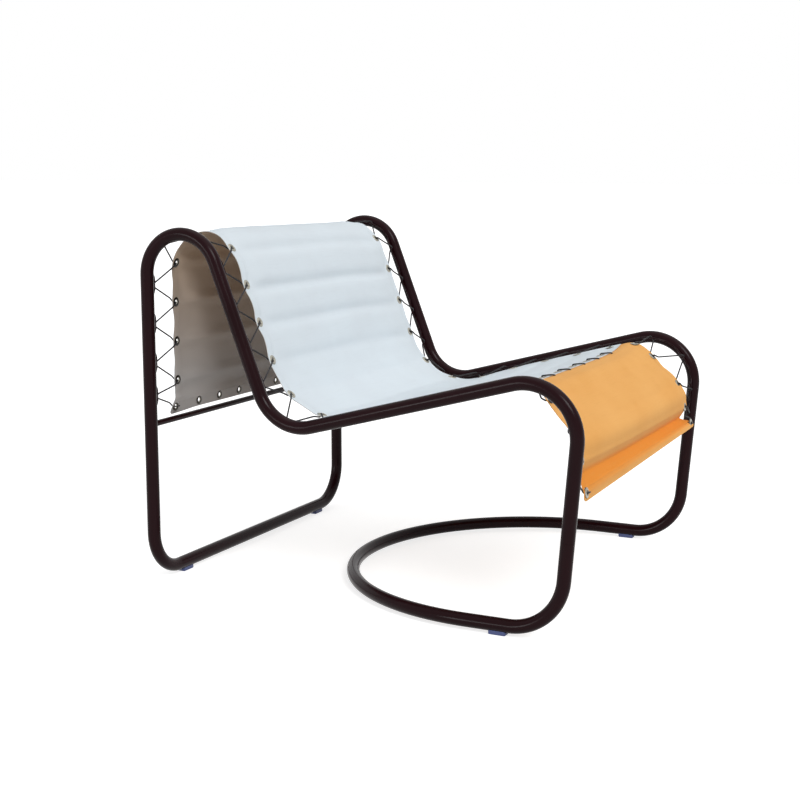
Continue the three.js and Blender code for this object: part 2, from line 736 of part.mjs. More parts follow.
// Elastic cord: up through an eyelet, over the edge, round the rod's bump and back under the edge.
function addLacingCord(name, side, path, stops, bumps, eyeletX) {
  const points = [];
  const wrap = rodRadius + fitGap + cordRadius + cordSlack;
  const below = clothThickness / 2 + fitGap + eyeletFlangeThickness + cordRadius;
  // The pull of the cord holds it against the side of each eyelet that is nearest to the tube.
  const bearX = eyeletX + eyeletBore / 2 * Math.cos(Math.PI / eyeletSides) - cordRadius - fitGap;
  const put = (x, base, outward, rise, along, shift) => {
    const place = base.clone().addScaledVector(outward, rise).addScaledVector(along, shift);
    points.push(new THREE.Vector3(side * x, place.x, place.y));
  };
  stops.forEach((stop, i) => {
    const { point, outward } = tabPlace(path, stop);
    const along = new THREE.Vector2(-outward.y, outward.x);
    const first = i === 0;
    const last = i === stops.length - 1;
    put(bearX + (first ? 0 : cordRadius), point, outward, -below - cordRadius, along, 0);
    put(bearX, point, outward, 0, along, 0);
    put(bearX + (last ? 0 : cordRadius), point, outward, below + cordRadius, along, 0);
    if (last) return;
    const hook = sidePath.at(bumps[i]);
    const hookOut = across(hook.heading, -1);
    const hookAlong = new THREE.Vector2(Math.cos(hook.heading), Math.sin(hook.heading));
    const next = tabPlace(path, stops[i + 1]);
    const nextAlong = new THREE.Vector2(-next.outward.y, next.outward.x);
    const edgeX = eyeletX + tabReach + cordDiameter;
    put(edgeX, point, outward, cordEdgeRise, along, cordLoop);
    put(peakX, hook.point, hookOut, wrap, hookAlong, -cordLoop / 2);
    put(peakX + wrap, hook.point, hookOut, 0, hookAlong, 0);
    put(peakX, hook.point, hookOut, -wrap, hookAlong, cordLoop / 2);
    put(edgeX, next.point, next.outward, -cordEdgeRise, nextAlong, -cordLoop);
  });
  addPiece(name, sweep(new RingPath(points), cordRadius, cordSides), elastic);
}

// Running cord that laces the white cloth to the apron.
function addSeamLacing() {
  const points = [];
  const white = canvasPath.at(canvasEnd - seamEyeletInset);
  const end = canvasPath.at(canvasEnd + cordRadius);
  const slit = apronPath.at(apronOverlap + slitReach);
  const lift = clothThickness / 2 + fitGap + eyeletFlangeThickness + cordRadius;
  const low = apronDrop + lift + cordRadius;
  const put = (x, place, rise) => {
    const spot = place.point.clone().add(across(place.heading, -rise));
    points.push(new THREE.Vector3(x, spot.x, spot.y));
  };
  for (const x of seamPlaces()) {
    put(x - cordRadius, white, -low);
    put(x, white, 0);
    put(x, white, lift + cordRadius);
    put(x, end, seamCordRise);
    put(x, slit, apronDrop + fitGap);
    put(x, slit, -apronDrop);
    put(x + cordRadius, slit, -low - cordDiameter);
  }
  addPiece('seam_lacing', sweep(new RingPath(points), cordRadius, cordSides), elastic);
}

addSideTube('side_tube_left', -1);
addSideTube('side_tube_right', 1);
addRearHoop();
addFloorLoop();
addSleeve('rear_joint_sleeve_left', -1, rearJoint);
addSleeve('rear_joint_sleeve_right', 1, rearJoint);
addSleeve('front_joint_sleeve_left', -1, frontJoint);
addSleeve('front_joint_sleeve_right', 1, frontJoint);
addCrossbar();
addGlide('rear_glide_left', -rearGlideX, rearLine, true);
addGlide('rear_glide_right', rearGlideX, rearLine, true);
addGlide('front_glide_left', -sideLine, frontGlideY, false);
addGlide('front_glide_right', sideLine, frontGlideY, false);
addWhiteCanvas();
addApron();

const seatBumps = bumpStops(canvasPath, seatStops);
const apronBumps = bumpStops(apronPath, apronStops);
const allBumps = [...seatBumps, ...apronBumps];
addLacingRod('lacing_rod_left', -1, allBumps);
addLacingRod('lacing_rod_right', 1, allBumps);
addLacingCord('seat_lacing_left', -1, canvasPath, seatStops, seatBumps, seatEyeletX);
addLacingCord('seat_lacing_right', 1, canvasPath, seatStops, seatBumps, seatEyeletX);
addLacingCord('apron_lacing_left', -1, apronPath, apronStops, apronBumps, apronEyeletX);
addLacingCord('apron_lacing_right', 1, apronPath, apronStops, apronBumps, apronEyeletX);
addSeamLacing();

seatStops.forEach((stop, i) => {
  const place = tabPlace(canvasPath, stop);
  const number = String(i + 1).padStart(2, '0');
  addEyelet(`eyelet_left_${number}`, -seatEyeletX, place);
  addEyelet(`eyelet_right_${number}`, seatEyeletX, place);
});

export default chair;
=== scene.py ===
# Lounge chair on a loop of bent tube, with a laced white canvas and an orange canvas apron.
# Lengths are in millimetres and angles in degrees. Only the meshes are in metres.
import bpy
import math
import numpy as np
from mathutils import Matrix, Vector


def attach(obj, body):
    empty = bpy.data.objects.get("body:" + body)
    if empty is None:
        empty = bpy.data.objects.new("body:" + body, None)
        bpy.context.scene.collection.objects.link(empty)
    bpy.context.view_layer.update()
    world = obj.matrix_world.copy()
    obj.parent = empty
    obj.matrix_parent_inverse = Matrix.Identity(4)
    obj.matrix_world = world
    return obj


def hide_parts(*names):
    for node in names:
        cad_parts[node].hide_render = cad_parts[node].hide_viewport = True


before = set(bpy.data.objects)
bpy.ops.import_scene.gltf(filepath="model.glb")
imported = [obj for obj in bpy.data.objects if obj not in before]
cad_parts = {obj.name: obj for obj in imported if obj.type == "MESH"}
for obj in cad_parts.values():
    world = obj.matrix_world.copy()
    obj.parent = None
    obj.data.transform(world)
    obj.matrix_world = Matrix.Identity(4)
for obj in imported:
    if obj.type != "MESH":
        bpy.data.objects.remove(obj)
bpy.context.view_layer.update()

mm = 0.001
chair = {
    "height": 738,
    "depth": 945,
    "width": 792,  # between the centre lines of the two sides
    "gap": 0.3,  # between pieces that touch
    "tube": 27,
    "tubeWall": 2,
    "sole": 5,  # of plastic under the tube
}
tubeR = chair["tube"] / 2
boreR = tubeR - chair["tubeWall"]
sideX = chair["width"] / 2
rearY = chair["depth"] / 2 - tubeR
floorZ = chair["sole"] + tubeR

# Lines in the plane of a side are held as (y, z).

# A point at a distance along a heading.
def ahead(heading, distance):
    return np.array([math.cos(heading), math.sin(heading)]) * distance


# A step to the left of a heading.
def across(heading, distance):
    return np.array([-math.sin(heading), math.cos(heading)]) * distance


# Where two lines meet, each a point and a heading.
def meet(pointA, headingA, pointB, headingB):
    a, b = ahead(headingA, 1), ahead(headingB, 1)
    gap = np.asarray(pointB, float) - pointA
    return np.asarray(pointA, float) + a * (gap[0] * b[1] - gap[1] * b[0]) / (a[0] * b[1] - a[1] * b[0])


# Straight runs joined by arcs: each row holds a start, a heading, a length and a turn per millimetre.
def roundedPath(corners, radii):
    corners = np.array(corners, float)
    start, rows = corners[0], []
    for i in range(1, len(corners)):
        leg = corners[i] - corners[i - 1]
        heading = math.atan2(leg[1], leg[0])
        if i == len(corners) - 1:
            rows.append([*start, heading, np.linalg.norm(corners[i] - start), 0])
            break
        onward = corners[i + 1] - corners[i]
        turn = (math.atan2(onward[1], onward[0]) - heading + math.pi) % (2 * math.pi) - math.pi
        reach = radii[i - 1] * math.tan(abs(turn) / 2)
        arcStart = corners[i] - leg / np.linalg.norm(leg) * reach
        rows.append([*start, heading, np.linalg.norm(arcStart - start), 0])
        rows.append([*arcStart, heading, radii[i - 1] * abs(turn), math.copysign(1 / radii[i - 1], turn)])
        start = corners[i] + onward / np.linalg.norm(onward) * reach
    rows = np.array(rows)
    return {"runs": rows, "ends": np.cumsum(rows[:, 3]), "length": rows[:, 3].sum()}


# Point and heading at distances along a path. On an arc the point is
# start + (sin(heading) - sin(first), cos(first) - cos(heading)) / turn per millimetre.
def along(path, distance):
    distance = np.asarray(distance, float)
    index = np.clip(np.searchsorted(path["ends"], distance), 0, len(path["ends"]) - 1)
    run = path["runs"][index]
    y, z, first, length, bend = np.moveaxis(run, -1, 0)
    left = distance - (path["ends"][index] - length)
    heading = first + bend * left
    straight = bend == 0
    safe = np.where(straight, 1, bend)
    dy = np.where(straight, left * np.cos(first), (np.sin(heading) - np.sin(first)) / safe)
    dz = np.where(straight, left * np.sin(first), (np.cos(first) - np.cos(heading)) / safe)
    return np.stack([y + dy, z + dz], -1), heading


# Distance along a path at its point nearest to a given one.
def nearest(path, point):
    samples = np.linspace(0, path["length"], 801)
    places, _ = along(path, samples)
    return samples[np.argmin(np.linalg.norm(places - point, axis=-1))]


side = {
    "archRadius": 84,
    "backLean": 21.3,
    "seatBend": 95,
    "seatRise": 15,
    "seatCornerHeight": 336,
    "seatCornerSetback": 290,
    "kneeRadius": 99,
    "legLean": 4.5,
    "footRadius": 107,
    "rearJoint": 210,
    "frontJoint": 190,
}
up = math.pi / 2
backHeading = -up - math.radians(side["backLean"])
seatHeading = math.pi - math.radians(side["seatRise"])
legHeading = -up + math.radians(side["legLean"])
archMiddle = np.array([rearY - side["archRadius"], chair["height"] - tubeR - side["archRadius"]])
backPoint = archMiddle + across(backHeading, -side["archRadius"])
seatPoint = np.array([rearY - side["seatCornerSetback"], side["seatCornerHeight"]])
kneeMiddle = meet(seatPoint + across(seatHeading, side["kneeRadius"]), seatHeading,
                  np.array([-rearY + side["kneeRadius"], 0.0]), up)
legPoint = kneeMiddle + across(legHeading, -side["kneeRadius"])
rearFoot = np.array([rearY, floorZ])
seatCorner = meet(backPoint, backHeading, seatPoint, seatHeading)
kneeCorner = meet(seatPoint, seatHeading, legPoint, legHeading)
footCorner = meet(legPoint, legHeading, rearFoot, 0.0)
footReach = side["footRadius"] * math.tan((up - math.radians(side["legLean"])) / 2)
floorLoop = {"straight": 86, "glideReach": 66, "arcRows": 198, "spacing": 5}
loopMiddle = footCorner[0] + footReach + floorLoop["straight"]
sidePath = roundedPath(
    [rearFoot, meet(rearFoot, up, backPoint, backHeading), seatCorner, kneeCorner, footCorner,
     [loopMiddle, floorZ]],
    [side["archRadius"], side["seatBend"], side["kneeRadius"], side["footRadius"]])
rearJoint = side["rearJoint"] - floorZ
frontJoint = nearest(sidePath, meet(legPoint, legHeading, [0, side["frontJoint"]], 0.0))


def unit(vectors):
    return vectors / np.linalg.norm(vectors, axis=-1, keepdims=True)


# Six times the volume inside closed faces: the sum of a . (b x c) over the fan of triangles in each face.
def volumeOf(points, faces):
    a = points[faces[:, 0]]
    fans = [np.einsum("ij,ij->", a, np.cross(points[faces[:, k]], points[faces[:, k + 1]]))
            for k in range(1, faces.shape[1] - 1)]
    return sum(fans)


# Turns closed faces over if they enclose less than nothing.
def facingOut(points, groups):
    if sum(volumeOf(points, faces) for faces in groups) < 0:
        return [faces[:, ::-1] for faces in groups]
    return groups


# Makes a closed piece from points in millimetres. groups holds arrays of faces, one array for each
# number of corners. maps holds UV maps and marks holds numbers, one for each point.
def makePiece(name, points, groups, material, nodes=(), slot=None, maps=None, marks=None, sharp=40):
    points = np.asarray(points, float)
    groups = facingOut(points, groups)
    corners = np.concatenate([faces.ravel() for faces in groups]).astype(np.int32)
    sizes = np.concatenate([np.full(len(faces), faces.shape[1]) for faces in groups])
    mesh = bpy.data.meshes.new(name)
    mesh.vertices.add(len(points))
    mesh.vertices.foreach_set("co", (points * mm).ravel())
    mesh.loops.add(len(corners))
    mesh.loops.foreach_set("vertex_index", corners)
    mesh.polygons.add(len(sizes))
    mesh.polygons.foreach_set("loop_start", np.r_[0, np.cumsum(sizes)[:-1]].astype(np.int32))
    mesh.update(calc_edges=True)
    for label, values in (maps or {}).items():
        layer = mesh.uv_layers.new(name=label)
        layer.data.foreach_set("uv", np.asarray(values, np.float32)[corners].ravel())
    for label, values in (marks or {}).items():
        mark = mesh.attributes.new(label, "FLOAT", "POINT")
        mark.data.foreach_set("value", np.asarray(values, np.float32).ravel())
    mesh.polygons.foreach_set("use_smooth", np.ones(len(sizes), bool))
    mesh.set_sharp_from_angle(angle=math.radians(sharp))
    mesh.materials.append(material)
    piece = bpy.data.objects.new(name, mesh)
    bpy.context.scene.collection.objects.link(piece)
    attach(piece, "root")
    if nodes:
        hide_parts(*nodes)
    return piece


# Directions of a line of points, from each point's neighbours.
def tangentsOf(points):
    return unit(np.gradient(points, axis=0))


# Side vectors that turn as little as possible along a line: each is the last one, pressed square to it.
def sidesAlong(tangents, first):
    sides, last = np.empty_like(tangents), np.asarray(first, float)
    for i, tangent in enumerate(tangents):
        last = last - tangent * (last @ tangent)
        last = last / np.linalg.norm(last)
        sides[i] = last
    return sides


# A ring at each point of a line: point + radius * (cos(a) * side + sin(a) * tangent x side).
def ringGrid(points, tangents, sides, radius, count):
    angle = np.linspace(0, 2 * math.pi, count, endpoint=False)
    other = np.cross(tangents, sides)
    radius = np.broadcast_to(radius, len(points))[:, None, None]
    spokes = np.cos(angle)[None, :, None] * sides[:, None] + np.sin(angle)[None, :, None] * other[:, None]
    return (points[:, None] + radius * spokes).reshape(-1, 3)


# Faces of a grid of rows, each row closed on itself.
def ringFaces(rows, count):
    i, j = np.meshgrid(np.arange(rows - 1), np.arange(count), indexing="ij")
    a = i * count + j
    b = i * count + (j + 1) % count
    return np.stack([a, b, b + count, a + count], -1).reshape(-1, 4)


# Tube with a bore: an outer and an inner skin, joined by a ring of faces at each end.
def hollowTube(points, tangents, sides, count=32):
    outer = ringGrid(points, tangents, sides, tubeR, count)
    inner = ringGrid(points, tangents, sides, boreR, count)
    total = len(outer)
    skin = ringFaces(len(points), count)
    j = np.arange(count)
    k = (j + 1) % count
    last = total - count
    start = np.stack([j, j + total, k + total, k], -1)
    end = np.stack([j + last, k + last, k + last + total, j + last + total], -1)
    return np.concatenate([outer, inner]), [np.concatenate([skin, skin[:, ::-1] + total, start, end])]


# Solid rod or cord. Its ends are rounded: the last rings shrink as a quarter circle does.
def roundRod(points, sides, radius, count):
    tangents = tangentsOf(points)
    share = np.array([0.35, 0.8, 1.0])
    lift = radius * np.sqrt(1 - share**2)[:, None]
    line = np.concatenate([
        points[0] - tangents[0] * lift, points[1:-1], points[-1] + tangents[-1] * lift[::-1]])
    spread = radius * np.concatenate([share, np.ones(len(points) - 2), share[::-1]])
    index = np.r_[0, 0, np.arange(len(points)), len(points) - 1, len(points) - 1]
    grid = ringGrid(line, tangents[index], sides[index], spread, count)
    caps = np.stack([np.arange(count)[::-1], np.arange(count) + len(grid) - count])
    travel = np.r_[0, np.cumsum(np.linalg.norm(np.diff(line, axis=0), axis=1))]
    turn = np.linspace(0, 1, count, endpoint=False)
    uv = np.stack([np.tile(turn, len(line)), np.repeat(travel * mm, count)], -1)
    return grid, [ringFaces(len(line), count), caps], uv


# sRGB hex colour to a linear one.
def colour(hexCode):
    value = np.array([int(hexCode[i:i + 2], 16) for i in (1, 3, 5)]) / 255
    linear = np.where(value <= 0.04045, value / 12.92, ((value + 0.055) / 1.055) ** 2.4)
    return (*linear.tolist(), 1.0)


# Adds a node with its settings and links, and gives one of its outputs. An input is a value, or the
# output that feeds it.
def addNode(tree, kind, inputs=None, output=0, **settings):
    node = tree.nodes.new("ShaderNode" + kind)
    for key, value in settings.items():
        setattr(node, key, value)
    for key, value in (inputs or {}).items():
        if isinstance(value, bpy.types.NodeSocket):
            tree.links.new(value, node.inputs[key])
        else:
            node.inputs[key].default_value = value
    return node.outputs[output]


# A material and its Principled shader, with the values that are the same everywhere.
def newMaterial(name, **values):
    material = bpy.data.materials.new(name)
    material.use_nodes = True
    shader = material.node_tree.nodes["Principled BSDF"]
    for key, value in values.items():
        shader.inputs[key].default_value = value
    return material, material.node_tree, shader


# Links outputs to the shader's inputs by name.
def feed(tree, shader, **outputs):
    for key, value in outputs.items():
        tree.links.new(value, shader.inputs[key.replace("_", " ")])


paint = {"deep": "#1B070A", "worn": "#230C11", "roughness": (0.16, 0.24), "cloudMm": 90, "peelMm": 2.6,
         "peelDepthMm": 0.02}


# Enamel over steel tube, sprayed and stoved: dark aubergine brown, glossy, with a faint orange peel
# that softens what it mirrors.
def sprayedEnamel():
    material, tree, shader = newMaterial("sprayed_enamel", **{
        "IOR": 1.5, "Specular IOR Level": 0.08})
    place = addNode(tree, "TexCoord", output="Object")
    cloud = addNode(tree, "TexNoise", {"Vector": place, "Scale": 1 / (paint["cloudMm"] * mm), "Detail": 2})
    peel = addNode(tree, "TexNoise", {"Vector": place, "Scale": 1 / (paint["peelMm"] * mm), "Detail": 1})
    tint = addNode(tree, "Mix", {0: cloud, 6: colour(paint["deep"]), 7: colour(paint["worn"])}, 2,
                   data_type="RGBA")
    low, high = paint["roughness"]
    gloss = addNode(tree, "MapRange", {"Value": cloud, "From Min": 0.3, "From Max": 0.7, "To Min": low,
                                       "To Max": high})
    skin = addNode(tree, "Bump", {"Height": peel, "Distance": paint["peelDepthMm"] * mm})
    feed(tree, shader, Base_Color=tint, Roughness=gloss, Normal=skin)
    return material


canvasLook = {
    "weaveMm": 1.9,  # real threads are 0.7 mm apart, too fine to show, so the weave is drawn coarser
    "weaveDepth": 0.05,
    "stitchMm": 4.5,
    "stitchWide": 0.7,
    "hemMm": 20,
    "hemStep": 0.5,
    "cloudMm": 120,
    "slubMm": 60,
    "crumpleMm": 24,
    # The back colours are painted shade on the inner side: darker than the face, warm brown inside and greyer
    # by the rear hem.
    "white": {"face": "#D9E2E8", "soft": "#D6DEE4", "back": "#C5B09B", "innerHemShade": "#B2AFAD",
              "thread": "#CCD3D8"},
    # For the orange cloth, deep is painted shade in the apron's fold.
    "orange": {"face": "#EBB067", "soft": "#E6A85E", "back": "#DC9C50", "innerHemShade": "#DC9C50",
               "thread": "#DB9E54", "deep": "#E88C2D"},
}


# Woven cotton canvas: dull and slightly furry, two sets of threads crossing as rounded ridges, with an
# uneven thread here and there. Its hem is turned over and sewn, which leaves a step and a row of
# stitches. The cloth map holds the place on the cut cloth, and the hem map the way to its edges. The
# inner side is painted darker as shade: warm brown in the hollow under the back, greyer towards the rear hem.
def wovenCanvas(name, look):
    material, tree, shader = newMaterial(name, **{
        "IOR": 1.46, "Roughness": 0.9, "Specular IOR Level": 0.12, "Sheen Weight": 0.04,
        "Sheen Roughness": 0.5})
    cloth = addNode(tree, "UVMap", uv_map="cloth")
    place = [addNode(tree, "SeparateXYZ", {0: cloth}, k) for k in (0, 1)]
    hem = addNode(tree, "UVMap", uv_map="hem")
    edge = [addNode(tree, "SeparateXYZ", {0: hem}, k) for k in (0, 1)]

    # Threads: the sine of the way across times the sine of the way along.
    turns = 2 * math.pi / (canvasLook["weaveMm"] * mm)
    angles = [addNode(tree, "Math", {0: way, 1: turns}, operation="MULTIPLY") for way in place]
    threads = [addNode(tree, "Math", {0: angle}, operation="SINE") for angle in angles]
    weave = addNode(tree, "Math", {0: threads[0], 1: threads[1]}, operation="MULTIPLY")

    cloud = addNode(tree, "TexNoise", {"Vector": cloth, "Scale": 1 / (canvasLook["cloudMm"] * mm),
                                       "Detail": 3})
    crumple = addNode(tree, "TexNoise", {"Vector": cloth, "Scale": 1 / (canvasLook["crumpleMm"] * mm)})
    stretched = addNode(tree, "Mapping", {"Vector": cloth, "Scale": (1, 14, 1)})
    slub = addNode(tree, "TexNoise", {"Vector": stretched, "Scale": 1 / (canvasLook["slubMm"] * mm)})
    cloudShare = addNode(tree, "MapRange", {"Value": cloud, "From Min": 0.35, "From Max": 0.7})
    slubShare = addNode(tree, "MapRange", {"Value": slub, "From Min": 0.56, "From Max": 0.72, "To Max": 0.16})
    face, soft, thread = (colour(look[key]) for key in ("face", "soft", "thread"))
    tint = addNode(tree, "Mix", {0: cloudShare, 6: face, 7: soft}, 2, data_type="RGBA")
    # Painted shade: the apron's fold is coloured a deeper orange, for the shade and bounced light in its
    # valley.
    if "deep" in look:
        share = addNode(tree, "Attribute", output="Fac", attribute_name="fold")
        tint = addNode(tree, "Mix", {0: share, 6: tint, 7: colour(look["deep"])}, 2, data_type="RGBA")
    tint = addNode(tree, "Mix", {0: slubShare, 6: tint, 7: thread}, 2, data_type="RGBA")

    # A stitch shows where a place is in the line inside the hem and in a dash of the way along it.
    hemWay, halfWide = (canvasLook["hemMm"] - 3) * mm, canvasLook["stitchWide"] / 2 * mm
    dashTurns = 2 * math.pi / (canvasLook["stitchMm"] * mm)
    stitches = []
    for way, onward in zip(edge, place[::-1]):
        angle = addNode(tree, "Math", {0: onward, 1: dashTurns}, operation="MULTIPLY")
        wave = addNode(tree, "Math", {0: angle}, operation="SINE")
        dash = addNode(tree, "Math", {0: wave, 1: -0.35}, operation="GREATER_THAN")
        line = addNode(tree, "Math", {0: way, 1: hemWay, 2: halfWide}, operation="COMPARE")
        stitches.append(addNode(tree, "Math", {0: dash, 1: line}, operation="MULTIPLY"))
    stitch = addNode(tree, "Math", {0: stitches[0], 1: stitches[1]}, operation="MAXIMUM")
    share = addNode(tree, "Math", {0: stitch, 1: 0.55}, operation="MULTIPLY")
    tint = addNode(tree, "Mix", {0: share, 6: tint, 7: thread}, 2, data_type="RGBA")

    # Painted shade on the inner side: the back colour, warm brown in the hollow and greyer towards the rear
    # hem.
    innerShadeShare = addNode(tree, "MapRange", {"Value": place[1], "From Min": 0.06, "From Max": 0.32})
    innerShadeTint = addNode(tree, "Mix", {0: innerShadeShare, 6: colour(look["innerHemShade"]), 7: colour(look["back"])}, 2,
                       data_type="RGBA")
    inner = addNode(tree, "Attribute", output="Fac", attribute_name="inner")
    tint = addNode(tree, "Mix", {0: inner, 6: tint, 7: innerShadeTint}, 2, data_type="RGBA")

    nearEdge = addNode(tree, "Math", {0: edge[0], 1: edge[1]}, operation="MINIMUM")
    hemFrom, hemTo = canvasLook["hemMm"] * mm, (canvasLook["hemMm"] + 1.5) * mm
    step = addNode(tree, "MapRange", {"Value": nearEdge, "From Min": hemFrom, "From Max": hemTo,
                                      "To Min": canvasLook["hemStep"], "To Max": 0})
    height = addNode(tree, "Math", {0: weave, 1: canvasLook["weaveDepth"], 2: step}, operation="MULTIPLY_ADD")
    height = addNode(tree, "Math", {0: stitch, 1: -0.35, 2: height}, operation="MULTIPLY_ADD")
    height = addNode(tree, "Math", {0: crumple, 1: 0.5, 2: height}, operation="MULTIPLY_ADD")
    feed(tree, shader, Base_Color=tint, Normal=addNode(tree, "Bump", {"Height": height, "Distance": mm}))
    return material


# Brass, pressed and nickel plated: pale warm metal, smooth from the press, with fine handling marks. The
# washers on the inner side are painted dark, a painted shade and reflection of dark surroundings.
def nickelPlate():
    material, tree, shader = newMaterial("nickel_plated_brass", Metallic=1.0)
    place = addNode(tree, "TexCoord", output="Object")
    cloud = addNode(tree, "TexNoise", {"Vector": place, "Scale": 1 / (6 * mm), "Detail": 3})
    marks = addNode(tree, "TexNoise", {"Vector": place, "Scale": 1 / (0.8 * mm)})
    tint = addNode(tree, "Mix", {0: cloud, 6: colour("#9A978C"), 7: colour("#AFACA1")}, 2, data_type="RGBA")
    shadedWasher = addNode(tree, "Attribute", output="Fac", attribute_name="shadedWasher")
    # Painted shade: the inner washers are coloured dark, as if they mirrored dark surroundings.
    tint = addNode(tree, "Mix", {0: shadedWasher, 6: tint, 7: colour("#3B3833")}, 2, data_type="RGBA")
    gloss = addNode(tree, "MapRange", {"Value": cloud, "From Min": 0.3, "From Max": 0.7, "To Min": 0.28,
                                       "To Max": 0.42})
    feed(tree, shader, Base_Color=tint, Roughness=gloss,
         Normal=addNode(tree, "Bump", {"Height": marks, "Distance": 0.01 * mm}))
    return material


# Elastic cord, braided: black yarn winds both ways round a rubber core, dull with a woven relief.
def braidedElastic():
    material, tree, shader = newMaterial("braided_elastic", **{
        "IOR": 1.5, "Roughness": 0.72, "Specular IOR Level": 0.35, "Sheen Weight": 0.15})
    cordMap = addNode(tree, "UVMap", uv_map="cord")
    roundWay, onward = [addNode(tree, "SeparateXYZ", {0: cordMap}, k) for k in (0, 1)]
    travel = addNode(tree, "Math", {0: onward, 1: 2 * math.pi / (2.4 * mm)}, operation="MULTIPLY")
    yarns = []
    for turns in (2, -2):
        wind = addNode(tree, "Math", {0: roundWay, 1: turns * 2 * math.pi, 2: travel},
                       operation="MULTIPLY_ADD")
        yarns.append(addNode(tree, "Math", {0: wind}, operation="SINE"))
    braid = addNode(tree, "Math", {0: yarns[0], 1: yarns[1]}, operation="MAXIMUM")
    tint = addNode(tree, "Mix", {0: braid, 6: colour("#0C0B0D"), 7: colour("#232126")}, 2, data_type="RGBA")
    relief = addNode(tree, "Bump", {"Height": braid, "Distance": 0.15 * mm})
    feed(tree, shader, Base_Color=tint, Normal=relief)
    return material


# Polythene, moulded: blue grey, waxy rather than glossy, with a fine grain from the mould.
def mouldedPolythene():
    material, tree, shader = newMaterial("moulded_polythene", **{
        "IOR": 1.51, "Specular IOR Level": 0.4, "Subsurface Weight": 0.05, "Subsurface Scale": 0.002})
    place = addNode(tree, "TexCoord", output="Object")
    cloud = addNode(tree, "TexNoise", {"Vector": place, "Scale": 1 / (9 * mm), "Detail": 3})
    grain = addNode(tree, "TexNoise", {"Vector": place, "Scale": 1 / (1.2 * mm)})
    tint = addNode(tree, "Mix", {0: cloud, 6: colour("#3F4A78"), 7: colour("#525E8C")}, 2, data_type="RGBA")
    gloss = addNode(tree, "MapRange", {"Value": cloud, "From Min": 0.3, "From Max": 0.7, "To Min": 0.38,
                                       "To Max": 0.58})
    feed(tree, shader, Base_Color=tint, Roughness=gloss,
         Normal=addNode(tree, "Bump", {"Height": grain, "Distance": 0.03 * mm}))
    return material


# Steel rod, cold drawn: grey metal with fine lines along the draw, a little oily.
def drawnSteel():
    material, tree, shader = newMaterial("drawn_steel", Metallic=1.0)
    place = addNode(tree, "TexCoord", output="Object")
    stretched = addNode(tree, "Mapping", {"Vector": place, "Scale": (1, 1, 0.04)})
    lines = addNode(tree, "TexNoise", {"Vector": stretched, "Scale": 1 / (0.6 * mm)})
    tint = addNode(tree, "Mix", {0: lines, 6: colour("#8B8F94"), 7: colour("#A9ADB1")}, 2, data_type="RGBA")
    gloss = addNode(tree, "MapRange", {"Value": lines, "From Min": 0.3, "From Max": 0.7, "To Min": 0.32,
                                       "To Max": 0.5})
    feed(tree, shader, Base_Color=tint, Roughness=gloss,
         Normal=addNode(tree, "Bump", {"Height": lines, "Distance": 0.02 * mm}))
    return material


enamel = sprayedEnamel()
whiteCanvas = wovenCanvas("white_cotton_canvas", canvasLook["white"])
orangeCanvas = wovenCanvas("orange_cotton_canvas", canvasLook["orange"])
nickel = nickelPlate()
elastic = braidedElastic()
polythene = mouldedPolythene()
steel = drawnSteel()
print("materials made")


def inSide(sign, x, places):
    x = np.broadcast_to(x, places.shape[:-1])
    return np.concatenate([(sign * x)[..., None], places], -1)


def sideLine(sign, start, end, spacing=6):
    distance = np.linspace(start, end, int((end - start) / spacing) + 2)
    places, heading = along(sidePath, distance)
    tangents = np.stack([np.zeros_like(heading), np.cos(heading), np.sin(heading)], -1)
    return inSide(sign, sideX, places), tangents


def addSideTube(name, node, sign):
    points, tangents = sideLine(sign, rearJoint + chair["gap"] / 2, frontJoint - chair["gap"] / 2)
    sides = np.broadcast_to([1.0, 0, 0], points.shape)
    makePiece(name, *hollowTube(points, tangents, sides), enamel, [node], "painted_tube")


rearHoop = {"bendRadius": 88, "bendRows": 26, "uprightRows": 16, "barRows": 88}


# Uprights, two bends and the bar on the floor: the bend is a quarter circle of the given radius.
def addRearHoop():
    radius, bendRows, uprightRows, barRows = rearHoop.values()
    angle = np.linspace(0, up, bendRows)
    x = sideX - radius + radius * np.cos(angle)
    z = floorZ + radius - radius * np.sin(angle)
    top = side["rearJoint"] - chair["gap"] / 2
    upright = np.linspace(top, floorZ + radius, uprightRows + 1)[:-1]
    level = np.zeros(uprightRows + bendRows)
    left = np.stack([np.r_[np.full(uprightRows, -sideX), -x], level + rearY, np.r_[upright, z]], -1)
    inWay = np.r_[np.zeros(uprightRows), np.sin(angle)]
    downWay = np.r_[-np.ones(uprightRows), -np.cos(angle)]
    leftWay = np.stack([inWay, level, downWay], -1)
    barX = np.linspace(left[-1, 0], -left[-1, 0], barRows + 2)[1:-1]
    bar = np.stack([barX, np.full(barRows, rearY), np.full(barRows, floorZ)], -1)
    right = left[::-1] * [-1, 1, 1]
    rightWay = leftWay[::-1] * [1, 1, -1]
    points = np.concatenate([left, bar, right])
    tangents = np.concatenate([leftWay, np.tile([1.0, 0, 0], (barRows, 1)), rightWay])
    tube = hollowTube(points, tangents, np.broadcast_to([0, 1.0, 0], points.shape))
    makePiece("rearFloorHoop", *tube, enamel, ["rear_floor_hoop"], "painted_tube")


